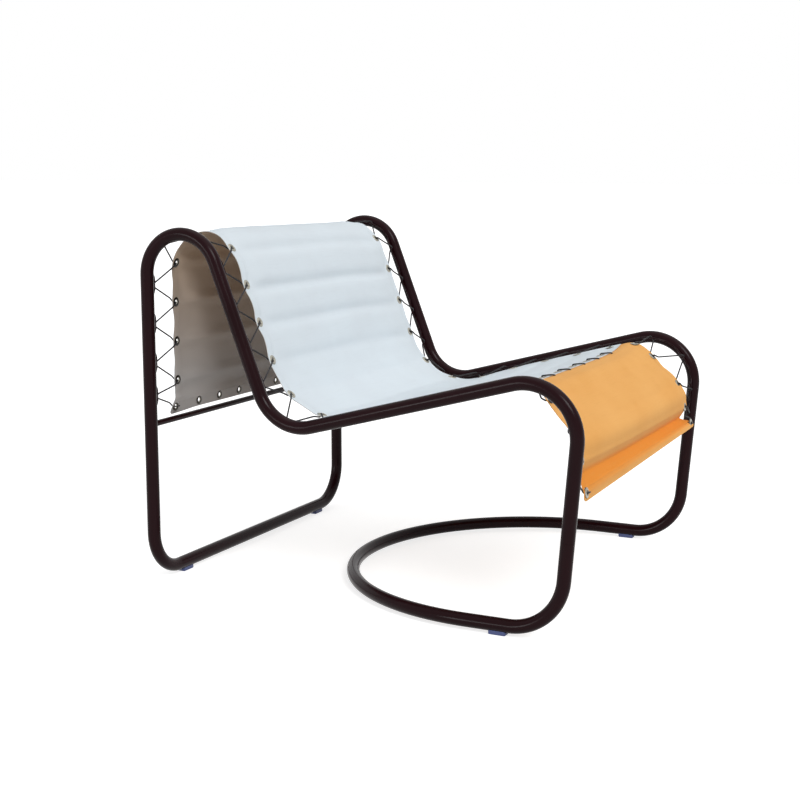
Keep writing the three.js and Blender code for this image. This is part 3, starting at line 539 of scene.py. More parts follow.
# Both lower legs and the half circle under the seat, whose radius is half the chair's width.
def addFloorLoop():
    rows = floorLoop["arcRows"]
    left, leftWay = sideLine(-1, frontJoint + chair["gap"] / 2, sidePath["length"], floorLoop["spacing"])
    angle = np.linspace(0, math.pi, rows + 2)[1:-1]
    arc = np.stack([-sideX * np.cos(angle), loopMiddle + sideX * np.sin(angle), np.full(rows, floorZ)], -1)
    arcWay = np.stack([np.sin(angle), np.cos(angle), np.zeros(rows)], -1)
    right, rightWay = left[::-1] * [-1, 1, 1], leftWay[::-1] * [1, -1, -1]
    points = np.concatenate([left, arc, right])
    tangents = np.concatenate([leftWay, arcWay, rightWay])
    legSides = np.tile([1.0, 0, 0], (len(left), 1))
    sides = np.concatenate([legSides, np.cross(arcWay, [0, 0, 1.0]), -legSides])
    tube = hollowTube(points, tangents, sides)
    makePiece("frontFloorLoop", *tube, enamel, ["front_floor_loop"], "painted_tube")


crossbar = {"radius": 6.3, "height": 334}


# Thin bar whose ends follow the tubes: it stops at side - sqrt(tube radius^2 - (bar radius * cos)^2).
def addCrossbar():
    count = 32
    angle = np.linspace(0, 2 * math.pi, count, endpoint=False)
    y, z = crossbar["radius"] * np.cos(angle), crossbar["radius"] * np.sin(angle)
    end = sideX - np.sqrt((tubeR + chair["gap"]) ** 2 - y**2)
    share = np.linspace(-1, 1, 60)
    x = share[:, None] * end
    points = np.stack([x, rearY + y + 0 * x, crossbar["height"] + z + 0 * x], -1).reshape(-1, 3)
    caps = np.stack([np.arange(count)[::-1], np.arange(count) + len(points) - count])
    makePiece("rearCrossbar", points, [ringFaces(60, count), caps], enamel, ["rear_crossbar"], "painted_tube")


glide = {"length": 34, "width": 19, "edge": 2.4, "pin": 3, "pinTop": 13, "rearInset": 110}


# Outline of a glide across the tube, drawn in by inset: a rounded sole, two sides and an arc that
# is part of a circle a little larger than the tube.
def glideOutline(inset):
    half, edge = glide["width"] / 2 - inset, glide["edge"]
    saddle = tubeR + chair["gap"]
    corner = np.linspace(0, up, 6)
    foot = np.stack([half - edge + edge * np.sin(corner), inset + edge - edge * np.cos(corner)], -1)
    reach = math.asin(half / saddle)
    turn = np.linspace(reach, -reach, 21)
    seat = np.stack([saddle * np.sin(turn), floorZ - saddle * np.cos(turn)], -1)
    return np.concatenate([foot, seat, foot[::-1] * [-1, 1]])


# Saddle under the tube: outlines along its length, drawn in at both ends, and its pin.
def addGlide(name, node, x, y, alongX):
    share = np.array([-1, -0.985, -0.94, -0.86, 0.86, 0.94, 0.985, 1.0])
    outlines = np.stack([glideOutline(inset) for inset in (1.5, 0.7, 0.2, 0, 0, 0.2, 0.7, 1.5)])
    count = outlines.shape[1]
    length = np.broadcast_to(share[:, None] * glide["length"] / 2, outlines.shape[:2])
    block = np.stack([outlines[..., 0], length, outlines[..., 1]], -1).reshape(-1, 3)
    caps = np.stack([np.arange(count)[::-1], np.arange(count) + len(block) - count])
    blockGroups = facingOut(block, [ringFaces(len(share), count), caps])
    pinLine = np.stack([np.zeros(8), np.zeros(8), np.linspace(glide["edge"] + 3, glide["pinTop"], 8)], -1)
    pin, pinGroups, _ = roundRod(pinLine, np.tile([1.0, 0, 0], (8, 1)), glide["pin"], 20)
    points = np.concatenate([block, pin])
    if alongX:
        points = points[:, [1, 0, 2]] * [-1, 1, 1]
    groups = blockGroups + [faces + len(block) for faces in facingOut(pin, pinGroups)]
    makePiece(name, points + [x, y, 0], groups, polythene, [node], "glide_plastic")


for sign, word, node in ((-1, "Left", "left"), (1, "Right", "right")):
    addSideTube("sideTube" + word, "side_tube_" + node, sign)
addRearHoop()
addFloorLoop()
addCrossbar()
rearGlideX = sideX - glide["rearInset"]
frontGlideY = loopMiddle - floorLoop["glideReach"]
for sign, word, node in ((-1, "Left", "left"), (1, "Right", "right")):
    addGlide("rearGlide" + word, "rear_glide_" + node, sign * rearGlideX, rearY, True)
    addGlide("frontGlide" + word, "front_glide_" + node, sign * sideX, frontGlideY, False)
for end in ("rear", "front"):
    for node in ("left", "right"):
        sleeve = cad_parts[f"{end}_joint_sleeve_{node}"]
        sleeve.data.materials.clear()
        sleeve.data.materials.append(steel)
print("frame made")


canvas = {
    "thickness": 1.2,
    "eyeletInset": 78,
    "tabReach": 12,
    "tabLength": 20,
    "scallop": 6,  # how far the edge draws in between two eyelets
    "flapInset": 14,
    "backForward": 5,  # of the middle of the back's tubes
    "seatInset": 2,  # under the middle of the seat's tubes
    "archRadius": 79.5,
    "seatBend": 150,
    "hemHeight": 354,
    "hemPitch": 52,
    "pitches": 15,
    "archPitches": 5,  # up to the first eyelet past the arch
    "archExtra": 11,  # of cloth in the pitch over the arch, made up by the later ones
    "seamSetback": 165,
    "seamReach": 25,
    "swell": 7.5,
    "valley": 13,  # half width of the crease between two eyelets of a pair
    "edgeShare": 0.2,  # of the swell, at the edge
    "edgeFade": 80,
    "sag": 7,
    "sagStart": 0.42,
    "corner": 9,
    "rearHemPitch": 79.5,
    "seamEyelets": 6,
    "seamInset": 17,
    "give": 90,  # width of the strip that follows the edge in and out
    "tabFade": (48, 26),  # from the edge, where the cloth goes flat in a tab
    "rowStep": 5.5,
    "columnStep": 7,
}
hemPoint = np.array([rearY - canvas["flapInset"], canvas["hemHeight"]])
backCanvas = backPoint + across(backHeading, -canvas["backForward"])
seatCanvas = seatPoint + across(seatHeading, canvas["seatInset"])
canvasPath = roundedPath(
    [hemPoint, meet(hemPoint, up, backCanvas, backHeading),
     meet(backCanvas, backHeading, seatCanvas, seatHeading),
     kneeCorner + across(seatHeading, canvas["seatInset"])],
    [canvas["archRadius"], canvas["seatBend"]])
canvasEnd = canvasPath["length"] - canvas["seamSetback"]
evenStart = canvas["tabReach"] + canvas["hemPitch"]
pitch = (canvasEnd - canvas["seamReach"] - evenStart) / canvas["pitches"]
order = np.arange(canvas["pitches"] + 1)
pastArch = (canvas["pitches"] - order) / (canvas["pitches"] - canvas["archPitches"])
extra = np.where(order < canvas["archPitches"], 0, canvas["archExtra"] * pastArch)
seatStops = np.r_[canvas["tabReach"], evenStart + order * pitch + extra]
archLine = np.linspace(0, canvasEnd, 1201)
archTop = archLine[np.argmax(along(canvasPath, archLine)[0][:, 1])]
seatEyeletX = sideX - canvas["eyeletInset"]
seamX = (np.arange(1, canvas["seamEyelets"] + 1) / (canvas["seamEyelets"] + 1) * 2 - 1) * seatEyeletX
seamStop = canvasEnd - canvas["seamInset"]

apron = {
    "eyeletInset": 66,
    "overlap": 6,
    "drop": 1.5,
    "seatBend": 80,
    "frontBend": 110,
    "kneeSlope": 42,
    "kneeInset": 27,
    "frontLean": 8,
    "hemHeight": 270,
    "hemReach": 8,
    "pitches": (50, 56, 84, 52),  # from the hem up
    "hemMargin": 12,
    "slitReach": 11,
    "slitLength": 12,
    "slitHalf": 1.4,
    "swell": 4,
    "fold": 15,  # depth of the valley between the last two pairs of eyelets
    "scallop": 5,
    "belly": 4,
    "kneePull": 12,  # inward from the knee
    "kneeLeft": 12,  # more of it at the left edge, below its second eyelet
    "kneeSpan": 75,
    "kneeFrom": (17, 70),
    "kneeLeftFrom": (70, 150),
    "seamFade": (20, 190),  # of the drop that it shares with the seam
    "leftPull": 13,  # of the left edge above the fold, rearward
    "leftPullAbove": 40,
    "leftPullSpan": 45,
    "twistForward": 10,
    "twistUp": 16,
    "creaseHalf": 14,
    "bellyAbove": 24,  # the last pair of eyelets but one
    "bellyHalf": 32,
    "foldHalf": 21,
    "rowStep": 4.5,
    "columnStep": 6,
}
apronStart, _ = along(canvasPath, canvasEnd - apron["overlap"])
apronStart = apronStart + across(seatHeading, apron["drop"])
apronHem = np.array([-rearY - apron["hemReach"], apron["hemHeight"]])
kneeHeading = math.pi + math.radians(apron["kneeSlope"])
apronHeading = -up - math.radians(apron["frontLean"])
apronKnee = kneeMiddle + across(kneeHeading, apron["kneeInset"] - side["kneeRadius"])
apronPath = roundedPath(
    [apronStart, meet(apronStart, seatHeading, apronKnee, kneeHeading),
     meet(apronKnee, kneeHeading, apronHem, apronHeading), apronHem],
    [apron["seatBend"], apron["frontBend"]])
apronStops = (apronPath["length"] - apron["hemMargin"] - np.r_[0, np.cumsum(apron["pitches"])])[::-1]
kneeStop = nearest(apronPath, apronKnee)
apronEyeletX = sideX - apron["eyeletInset"]
slitStop = apron["overlap"] + apron["slitReach"]


# Outward side of a cloth at a heading: to the right of it.
def outwardOf(heading):
    return np.stack([np.sin(heading), -np.cos(heading)], -1)


# Middle and outward side of the flat tab round an eyelet, from the chord that it spans.
def tabPlaces(path, stops):
    first, _ = along(path, stops - canvas["tabLength"] / 2)
    second, _ = along(path, stops + canvas["tabLength"] / 2)
    chord = second - first
    return (first + second) / 2, outwardOf(np.arctan2(chord[..., 1], chord[..., 0]))


def smooth(value, low, high):
    share = np.clip((value - low) / (high - low), 0, 1)
    return share * share * (3 - 2 * share)


# Lines of a grid: the fixed ones, and even steps no longer than spacing between them.
def gridLines(low, high, fixed, spacing):
    marks = np.unique(np.round(np.clip(np.r_[low, fixed, high], low, high), 3))
    marks = marks[np.r_[True, np.diff(marks) > 0.5]]
    parts = [np.linspace(a, b, int(math.ceil((b - a) / spacing)) + 1)[:-1]
             for a, b in zip(marks[:-1], marks[1:])]
    return np.concatenate(parts + [[marks[-1]]])


pleat = {
    "drop": ([402, 480, 561, 641, 721, 801, 900], [0, 9, 12, 7, 6, 1, 0]),  # of a crease, below its eyelets
    "depth": ([480, 561, 641, 721, 801], [1, 1, 0.8, 0.5, 0.4]),  # share of the swell
}
pull = {
    "archTilt": 3.25,
    "archBow": 1.25,
    "archSpan": 55,
    "right": 8,
    "rightAcross": (60, 318),
    "rightFrom": (430, 470),
    "rightTo": (900, 1100),
    "seam": 13,
    "seamReach": (330, 30),  # before the end of the cloth
    "hem": 5,
    "hemCorner": 11,
    "hemAcross": (230, 330),
    "hemReach": 26,
}
holeHalf = 5.8  # of the square cut under an eyelet; the eyelet's flanges cover it


# Closed sheet from rows along a path and columns across it. heights gives how far the cloth stands
# off the path, reach how far out its edge is, and shift how far a place is pulled rearward and up. holes
# are (x, distance, half width, half length).
def makeCloth(name, path, rows, columns, reach, heights, shift, holes, material, marks, ends, stops,
              **given):
    s, x0 = np.meshgrid(rows, columns, indexing="ij")
    full = columns[-1]
    give = smooth(np.abs(x0), full - canvas["give"], full)
    x = x0 - np.sign(x0) * give * (full - reach(s))
    places, heading = along(path, s)
    flatOut = outwardOf(heading)
    # Close to the edge the cloth lies flat in the tab round each eyelet.
    gap = s - stops[np.argmin(np.abs(s[..., None] - stops), -1)]
    first, _ = along(path, s - gap - canvas["tabLength"] / 2)
    second, _ = along(path, s - gap + canvas["tabLength"] / 2)
    inTab = np.abs(gap) <= canvas["tabLength"] / 2
    chordShare = (gap / canvas["tabLength"] + 0.5)[..., None]
    chordPlace = first + (second - first) * chordShare
    fadeFrom, fadeTo = canvas["tabFade"]
    edgeShare = smooth(np.abs(x0), full - fadeFrom, full - fadeTo)[..., None] * inTab[..., None]
    flatMiddle = places + (chordPlace - places) * edgeShare
    lift = heights(s, x, x0)
    place = flatMiddle + flatOut * lift[..., None] + shift(s, x0)
    middle = np.concatenate([x[..., None], place], -1).reshape(-1, 3)
    out = np.concatenate([np.zeros_like(x)[..., None], flatOut], -1).reshape(-1, 3)
    half = canvas["thickness"] / 2
    points = np.concatenate([middle + out * half, middle - out * half])
    rowsN, columnsN = s.shape
    total = rowsN * columnsN
    keep = np.ones((rowsN - 1, columnsN - 1), bool)
    rowMid, columnMid = (rows[1:] + rows[:-1]) / 2, (columns[1:] + columns[:-1]) / 2
    for holeX, holeS, halfWide, halfLong in holes:
        keep &= ~((np.abs(rowMid - holeS) < halfLong)[:, None] & (np.abs(columnMid - holeX) < halfWide)[None])
    i, j = np.nonzero(keep)
    a = i * columnsN + j
    quads = np.stack([a, a + columnsN, a + columnsN + 1, a + 1], -1)
    edges = np.stack([quads, np.roll(quads, -1, axis=1)], -1).reshape(-1, 2)
    code, back = edges[:, 0] * total + edges[:, 1], edges[:, 1] * total + edges[:, 0]
    rim = edges[~np.isin(code, back)]
    walls = np.stack([rim[:, 1], rim[:, 0], rim[:, 0] + total, rim[:, 1] + total], -1)
    used, corners = np.unique(np.concatenate([quads, quads[:, ::-1] + total, walls]), return_inverse=True)

    def twice(values):
        return np.concatenate([values.reshape(len(middle), -1)] * 2)[used]

    clothMap = np.stack([x0, s], -1) * mm
    sideWay = reach(s) - np.abs(x)
    endWay = np.full_like(s, 1000.0)
    if ends[0]:
        endWay = np.minimum(endWay, s - rows[0])
    if ends[1]:
        endWay = np.minimum(endWay, rows[-1] - s)
    hemMap = np.stack([sideWay, endWay], -1) * mm
    allMarks = {"inner": np.repeat([0.0, 1.0], total)[used]}
    for label, values in marks(s, x0).items():
        allMarks[label] = twice(values)[:, 0]
    return makePiece(name, points[used], [corners.reshape(-1, 4)], material, maps={
        "cloth": twice(clothMap), "hem": twice(hemMap)}, marks=allMarks, sharp=60, **given)


# How far the nearest stop is.
def stopGap(s, stops):
    return np.min(np.abs(s[..., None] - stops), -1)


# Edge of a cloth: it draws in by depth * sin^1.4 between two tabs, and its corners are rounded.
def scallopedReach(stops, end, half, depth):
    def reach(s):
        gap = stopGap(s, stops)
        index = np.clip(np.searchsorted(stops, s), 1, len(stops) - 1)
        span = (stops[index] - stops[index - 1]) / 2
        share = np.clip((gap - 5) / (span - 5), 0, 1)
        inside = (s > stops[0]) & (s < stops[-1])
        drawn = np.where(inside, depth * np.minimum(span / 40, 1) * np.sin(share * math.pi / 2) ** 1.4, 0)
        radius = canvas["corner"]
        fromEnd = np.clip(radius - np.minimum(s, end - s), 0, radius)
        return half - drawn - (radius - np.sqrt(radius**2 - fromEnd**2))
    return reach


# Swell of the cloth: swell * (1 - exp(-(gap / valley)^2)) between two pairs of eyelets, so that a crease
# joins the eyelets of each pair. It fades to a fifth at the edges, which the lacing pulls straight, and
# to nothing round each eyelet, where the cloth lies flat in its tab. The seat sags as half a sine wave.
# On the back the creases hang below their eyelets.
def whiteHeights(s, x, x0):
    gap = stopGap(s, seatStops)
    creaseGap = stopGap(s - np.interp(s, *pleat["drop"]), seatStops)
    edgeWay = whiteHalf - np.abs(x0)
    crease = 1 - np.exp(-((creaseGap / canvas["valley"]) ** 2))
    inside = smooth(s, 14, 40) * smooth(canvasEnd - s, 14, 60)
    tab = smooth(np.hypot(gap, np.abs(x0) - seatEyeletX), 11, 30)
    firm = canvas["edgeShare"] + (1 - canvas["edgeShare"]) * smooth(edgeWay, 0, canvas["edgeFade"])
    wobble = 0.5 * np.sin(x0 / 61 + s / 47) + 0.4 * np.sin(x0 / 38 - s / 29 + 1.3)
    way = np.clip((s - canvas["sagStart"] * canvasEnd) / (canvasEnd * (1 - canvas["sagStart"])), 0, 1)
    sag = canvas["sag"] * np.sin(math.pi * way) * (1 - np.clip(np.abs(x0) / (0.93 * whiteHalf), 0, 1) ** 2)
    swell = canvas["swell"] * np.interp(s, *pleat["depth"])
    return (swell * firm + wobble) * crease * inside * tab - sag


# How far the seam hangs down, all across but for its two ends.
def seamDrop(x0):
    return pull["seam"] * (1 - np.clip(np.abs(x0) / whiteHalf, 0, 1) ** 6)


# Pull on the white cloth, rearward and up: the corners of the rear hem flare, the arch stands higher on
# the left, and the right edge of the back and the seam hang lower.
def whiteShift(s, x0):
    s, x0 = np.broadcast_arrays(np.asarray(s, float), np.asarray(x0, float))
    way = x0 / whiteHalf
    corner = pull["hemCorner"] * smooth(np.abs(x0), *pull["hemAcross"])
    hem = (pull["hem"] + corner) * np.clip(1 - s / pull["hemReach"], 0, 1) ** 1.2
    tilt = pull["archBow"] * way**2 - pull["archTilt"] * way
    arch = tilt * np.exp(-(((s - archTop) / pull["archSpan"]) ** 2))
    right = pull["right"] * smooth(x0, *pull["rightAcross"]) * smooth(s, *pull["rightFrom"])
    right = right * (1 - smooth(s, *pull["rightTo"]))
    first, last = pull["seamReach"]
    seam = seamDrop(x0) * smooth(s, canvasEnd - first, canvasEnd - last)
    return np.stack([hem, arch - 0.6 * hem - right - seam], -1)


whiteHalf = seatEyeletX + canvas["tabReach"]
whiteReach = scallopedReach(seatStops, canvasEnd, whiteHalf, canvas["scallop"])
rearHemX = np.arange(-3, 4) * canvas["rearHemPitch"]


def around(values, half):
    values = np.asarray(values, float)
    return np.concatenate([values - half, values + half])


whiteRows = gridLines(0, canvasEnd, np.r_[around(seatStops, holeHalf), around([seamStop], holeHalf)],
                      canvas["rowStep"])
whiteColumns = gridLines(-whiteHalf, whiteHalf, np.r_[
    around([-seatEyeletX, seatEyeletX], holeHalf), around(seamX, holeHalf), around(rearHemX, holeHalf)],
    canvas["columnStep"])
whiteHoles = [(x, s, holeHalf, holeHalf) for s in seatStops for x in (-seatEyeletX, seatEyeletX)]
whiteHoles += [(x, seamStop, holeHalf, holeHalf) for x in seamX]
whiteHoles += [(x, seatStops[0], holeHalf, holeHalf) for x in rearHemX]
whiteSheet = makeCloth("seatAndBackCanvas", canvasPath, whiteRows, whiteColumns, whiteReach, whiteHeights,
                       whiteShift, whiteHoles, whiteCanvas, lambda s, x0: {}, (True, True), stops=seatStops,
                       nodes=["seat_and_back_canvas"], slot="white_canvas")

foldMiddle = (apronStops[-2] + apronStops[-1]) / 2 + 1


tug = {"depth": 1.6, "x": 250, "slope": 0.35, "stop": 150, "half": 16, "across": (60, 220)}


# Apron: swells between the eyelets, a belly that hangs over the fold, a slanting tug on the right, and a
# sharp valley whose depth falls off as depth * (1 - way / half width)^0.9, rounded at its bottom.
def apronHeights(s, x, x0):
    gap = stopGap(s, apronStops)
    edgeWay = apronHalf - np.abs(x0)
    tab = smooth(np.hypot(gap, np.abs(x0) - apronEyeletX), 11, 30)
    firm = canvas["edgeShare"] + (1 - canvas["edgeShare"]) * smooth(edgeWay, 0, canvas["edgeFade"])
    crease = (1 - np.exp(-((gap / apron["creaseHalf"]) ** 2))) * (s < apronStops[-2])
    bellyWay = (s - apronStops[-2] + apron["bellyAbove"]) / apron["bellyHalf"]
    belly = apron["belly"] * np.exp(-(bellyWay**2)) * (s < foldMiddle)
    way = np.sqrt((s - foldMiddle) ** 2 + 2) - math.sqrt(2)
    fold = apron["fold"] * np.clip(1 - way / apron["foldHalf"], 0, 1) ** 0.9
    tugWay = ((x0 - tug["x"]) * tug["slope"] + (s - tug["stop"])) / tug["half"]
    slant = tug["depth"] * np.exp(-(tugWay**2)) * smooth(x0, *tug["across"])
    swell = apron["swell"] * crease * firm * smooth(s, 10, 40)
    return (swell - slant) * tab + belly * (0.5 + 0.5 * tab) - fold


def apronReach(s):
    base = scallopedReach(apronStops, apronPath["length"], apronHalf, apron["scallop"])(s)
    return base - 10 * np.clip(1 - np.abs(s - foldMiddle) / 14, 0, 1)


# The strip below the fold is twisted: its left end hangs lower and its right end stands further forward.
# The top follows the seam down, and the left edge is pulled rearward above the fold. Inside the knee the
# whole cloth is drawn in by the lacing, most on the left: exp(-(way along / span)^2).
def apronShift(s, x0):
    share = smooth(s, foldMiddle - 4, apronPath["length"]) * np.clip(x0 / apronHalf, -1, 1)
    leftWay = (s - foldMiddle + apron["leftPullAbove"]) / apron["leftPullSpan"]
    left = np.clip(-x0 / apronHalf, 0, 1) ** 2 * np.exp(-(leftWay**2))
    seam = seamDrop(x0) * (1 - smooth(s, *apron["seamFade"]))
    leftMore = apron["kneeLeft"] * (1 - x0 / apronHalf) / 2 * smooth(s, *apron["kneeLeftFrom"])
    knee = (apron["kneePull"] + leftMore) * smooth(s, *apron["kneeFrom"])
    knee = knee * np.exp(-(((s - kneeStop) / apron["kneeSpan"]) ** 2))
    forward, upward = outwardOf(kneeHeading)
    return np.stack([apron["leftPull"] * left - apron["twistForward"] * share - forward * knee,
                     apron["twistUp"] * share - seam - upward * knee], -1)


# Painted shade: where the fold is coloured a deeper orange, for the shade and bounced light in its valley.
def apronFoldShade(s, x0):
    above, below = smooth(s, foldMiddle - 14, foldMiddle + 1), smooth(s, foldMiddle + 14, foldMiddle + 34)
    return {"fold": 0.85 * above * (1 - below)}


apronHalf = apronEyeletX + canvas["tabReach"]
foldRows = np.arange(foldMiddle - 14, foldMiddle + 14, 2.0)
apronRows = gridLines(0, apronPath["length"], np.r_[
    around(apronStops, holeHalf), around([slitStop], apron["slitHalf"]), foldRows], apron["rowStep"])
apronColumns = gridLines(-apronHalf, apronHalf, np.r_[
    around([-apronEyeletX, apronEyeletX], holeHalf), around(seamX, apron["slitLength"] / 2)],
    apron["columnStep"])
apronHoles = [(x, s, holeHalf, holeHalf) for s in apronStops for x in (-apronEyeletX, apronEyeletX)]
apronHoles += [(x, slitStop, apron["slitLength"] / 2, apron["slitHalf"]) for x in seamX]
apronSheet = makeCloth("frontApronCanvas", apronPath, apronRows, apronColumns, apronReach, apronHeights,
                       apronShift, apronHoles, orangeCanvas, apronFoldShade, (False, True), stops=apronStops,
                       nodes=["front_apron_canvas"], slot="orange_canvas")
print("canvases made")


eyelet = {"bore": 4.8, "barrel": 5.6, "flange": 10, "clothGap": 0.72, "dome": 2.3, "sides": 28}


# Pressed ring on both faces of the cloth: a closed outline turned about the eyelet's own axis.
def eyeletSurface(middle, outward):
    b, r, f, g, d = (eyelet[key] for key in ("bore", "barrel", "flange", "clothGap", "dome"))
    half = np.array([
        [b, 0], [b, d * 0.5], [b + 0.25, d * 0.8], [b + 0.9, d * 0.98], [b + 1.7, d], [b + 2.8, d * 0.86],
        [f - 1.2, d * 0.62], [f - 0.4, g + 0.5], [f, g + 0.15], [f - 0.1, g], [r + 0.4, g], [r, g - 0.1],
        [r, 0]])
    outline = np.concatenate([half, (half * [1, -1])[1:-1][::-1]])
    angle = np.linspace(0, 2 * math.pi, eyelet["sides"], endpoint=False)
    outward = np.array([0, *outward])
    firstWay = np.array([1.0, 0, 0])
    secondWay = np.cross(outward, firstWay)
    spokes = np.cos(angle)[:, None] * firstWay + np.sin(angle)[:, None] * secondWay
    points = np.asarray(middle) + outline[None, :, :1] * spokes[:, None] + outline[None, :, 1:] * outward
    count, turns = len(outline), len(angle)
    i, j = np.meshgrid(np.arange(turns), np.arange(count), indexing="ij")
    nextTurn, nextPoint = (i + 1) % turns, (j + 1) % count
    here, onward = i * count, nextTurn * count
    faces = np.stack([here + j, onward + j, onward + nextPoint, here + nextPoint], -1)
    return points.reshape(-1, 3), [faces.reshape(-1, 4)], np.tile(outline[:, 1] < -0.3, turns)


# An eyelet whose washer, the ring on the inner side of the cloth, is marked for painted shade.
def addEyelet(name, x, middle, outward, node=()):
    points, groups, shadedWasher = eyeletSurface([x, *middle], outward)
    return makePiece(name, points, groups, nickel, node, "eyelet_metal", marks={"shadedWasher": shadedWasher}, sharp=50)


def addEyelets(prefix, x, path, stops, shift, nodes=None):
    middles, outs = tabPlaces(path, stops)
    middles = middles + shift(stops, np.full(len(stops), float(x)))
    return [addEyelet(f"{prefix}{k + 1:02d}", x, middle, outward, [f"{nodes}_{k + 1:02d}"] if nodes else ())
            for k, (middle, outward) in enumerate(zip(middles, outs))]


whiteEyelets, apronEyelets = [], []
for sign, word, node in ((-1, "Left", "left"), (1, "Right", "right")):
    whiteEyelets += addEyelets("seatEyelet" + word, sign * seatEyeletX, canvasPath, seatStops, whiteShift,
                               "eyelet_" + node)
    apronEyelets += addEyelets("apronEyelet" + word, sign * apronEyeletX, apronPath, apronStops, apronShift)
for k, x in enumerate(rearHemX):
    whiteEyelets += addEyelets(f"rearHemEyelet{k + 1}_", x, canvasPath, seatStops[:1], whiteShift)
seamMiddle, seamHeading = along(canvasPath, seamStop)
seamOut = outwardOf(seamHeading)
for k, x in enumerate(seamX):
    whiteEyelets.append(addEyelet(f"seamEyelet{k + 1}", x, seamMiddle + whiteShift(seamStop, x), seamOut))
print("eyelets made")


rod = {"radius": 2, "bump": 8.5, "bumpLength": 62, "tail": 14, "flat": 9}
cord = {"radius": 1.6, "loop": 9, "edgeRise": 3.4, "wrap": 4.2}
restX = sideX - tubeR - chair["gap"] - rod["radius"]
peakX = restX - rod["bump"]


# Bumps stand midway between neighbouring eyelets.
def bumpStops(path, stops):
    return np.array([nearest(sidePath, along(path, (a + b) / 2)[0]) for a, b in zip(stops[:-1], stops[1:])])


seatBumps, apronBumps = bumpStops(canvasPath, seatStops), bumpStops(apronPath, apronStops)
allBumps = np.r_[seatBumps, apronBumps]


# Rod along the tube's inner side: it stands off by bump * smoothstep of the way in from each foot.
def addLacingRod(name, node, sign):
    start = allBumps[0] - rod["bumpLength"] / 2 - rod["tail"]
    end = allBumps[-1] + rod["bumpLength"] / 2 + rod["tail"]
    distance = np.arange(start, end, 2.5)
    middles = (allBumps[1:] + allBumps[:-1]) / 2
    cell = np.searchsorted(middles, distance)
    bumpAt = allBumps[cell]
    before = np.r_[np.inf, np.diff(allBumps)][cell]
    after = np.r_[np.diff(allBumps), np.inf][cell]
    foot = np.minimum(np.where(distance < bumpAt, before, after), rod["bumpLength"]) / 2
    lift = 1 - smooth(np.abs(distance - bumpAt), np.minimum(rod["flat"], foot * 0.4), foot)
    places, _ = along(sidePath, distance)
    points = inSide(sign, restX - rod["bump"] * lift, places)
    sides = sidesAlong(tangentsOf(points), [1.0, 0, 0])
    grid, groups, _ = roundRod(points, sides, rod["radius"], 12)
    makePiece(name, grid, groups, enamel, [node], "painted_tube")


# A line through corner points, rounded: even steps along it, each then averaged with its neighbours
# by weights exp(-(gap / width)^2). The two ends stay where they are.
def softLine(corners, width=3.2, spacing=1.2):
    corners = np.asarray(corners, float)
    travel = np.r_[0, np.cumsum(np.linalg.norm(np.diff(corners, axis=0), axis=1))]
    steps = np.linspace(0, travel[-1], int(travel[-1] / spacing))
    line = np.stack([np.interp(steps, travel, corners[:, k]) for k in range(3)], -1)
    reach = int(2.5 * width / spacing)
    weights = np.exp(-((np.arange(-reach, reach + 1) * spacing / width) ** 2))
    padded = np.concatenate([2 * line[0] - line[reach:0:-1], line, 2 * line[-1] - line[-2:-reach - 2:-1]])
    soft = np.stack([np.convolve(padded[:, k], weights / weights.sum(), "valid") for k in range(3)], -1)
    return soft


def addCord(name, corners, nodes):
    line = softLine(corners)
    tangents = tangentsOf(line)
    first = [0, 0, 1.0] if abs(tangents[0][2]) < 0.8 else [0, 1.0, 0]
    grid, groups, uv = roundRod(line, sidesAlong(tangents, first), cord["radius"], 10)
    return makePiece(name, grid, groups, elastic, nodes, "elastic_cord", maps={"cord": uv})


# Zigzag of the cord: up through an eyelet, over the edge, round a bump of the rod, back under the edge.
def lacingCorners(sign, path, stops, bumps, eyeletX, shift):
    middles, outs = tabPlaces(path, stops)
    middles = middles + shift(stops, np.full(len(stops), sign * eyeletX))
    bearX = eyeletX + eyelet["bore"] - cord["radius"] - chair["gap"]
    rise = eyelet["dome"] + cord["radius"] + 0.4
    edgeX = eyeletX + canvas["tabReach"] + 2 * cord["radius"]
    corners = []

    def put(x, base, outward, lift, way=None, onward=0.0):
        place = base + outward * lift + (way * onward if way is not None else 0)
        corners.append([sign * x, *place])

    for k, (middle, outward) in enumerate(zip(middles, outs)):
        way = np.array([-outward[1], outward[0]])
        last = k == len(stops) - 1
        if k == 0:
            put(bearX - 9, middle, outward, -rise - 1.2)
            put(bearX - 3, middle, outward, -rise)
        put(bearX + (0 if k == 0 else 1.2), middle, outward, -rise)
        put(bearX, middle, outward, 0)
        put(bearX + (0 if last else 1.2), middle, outward, rise)
        if last:
            put(bearX - 3, middle, outward, rise + 0.4)
            put(bearX - 9, middle, outward, rise + 0.6)
            break
        hook, heading = along(sidePath, bumps[k])
        hookOut, hookWay = outwardOf(heading), ahead(float(heading), 1)
        nextOut = outs[k + 1]
        nextWay = np.array([-nextOut[1], nextOut[0]])
        put(edgeX, middle, outward, cord["edgeRise"], way, cord["loop"])
        for turn in np.linspace(-80, 80, 7):
            angle = math.radians(turn)
            put(peakX + cord["wrap"] * math.cos(angle), hook, hookOut, -cord["wrap"] * math.sin(angle),
                hookWay, cord["loop"] / 2 * turn / 80)
        put(edgeX, middles[k + 1], nextOut, -cord["edgeRise"], nextWay, -cord["loop"])
    return corners


seamCord = {"lift": 3.9, "over": 2.8}


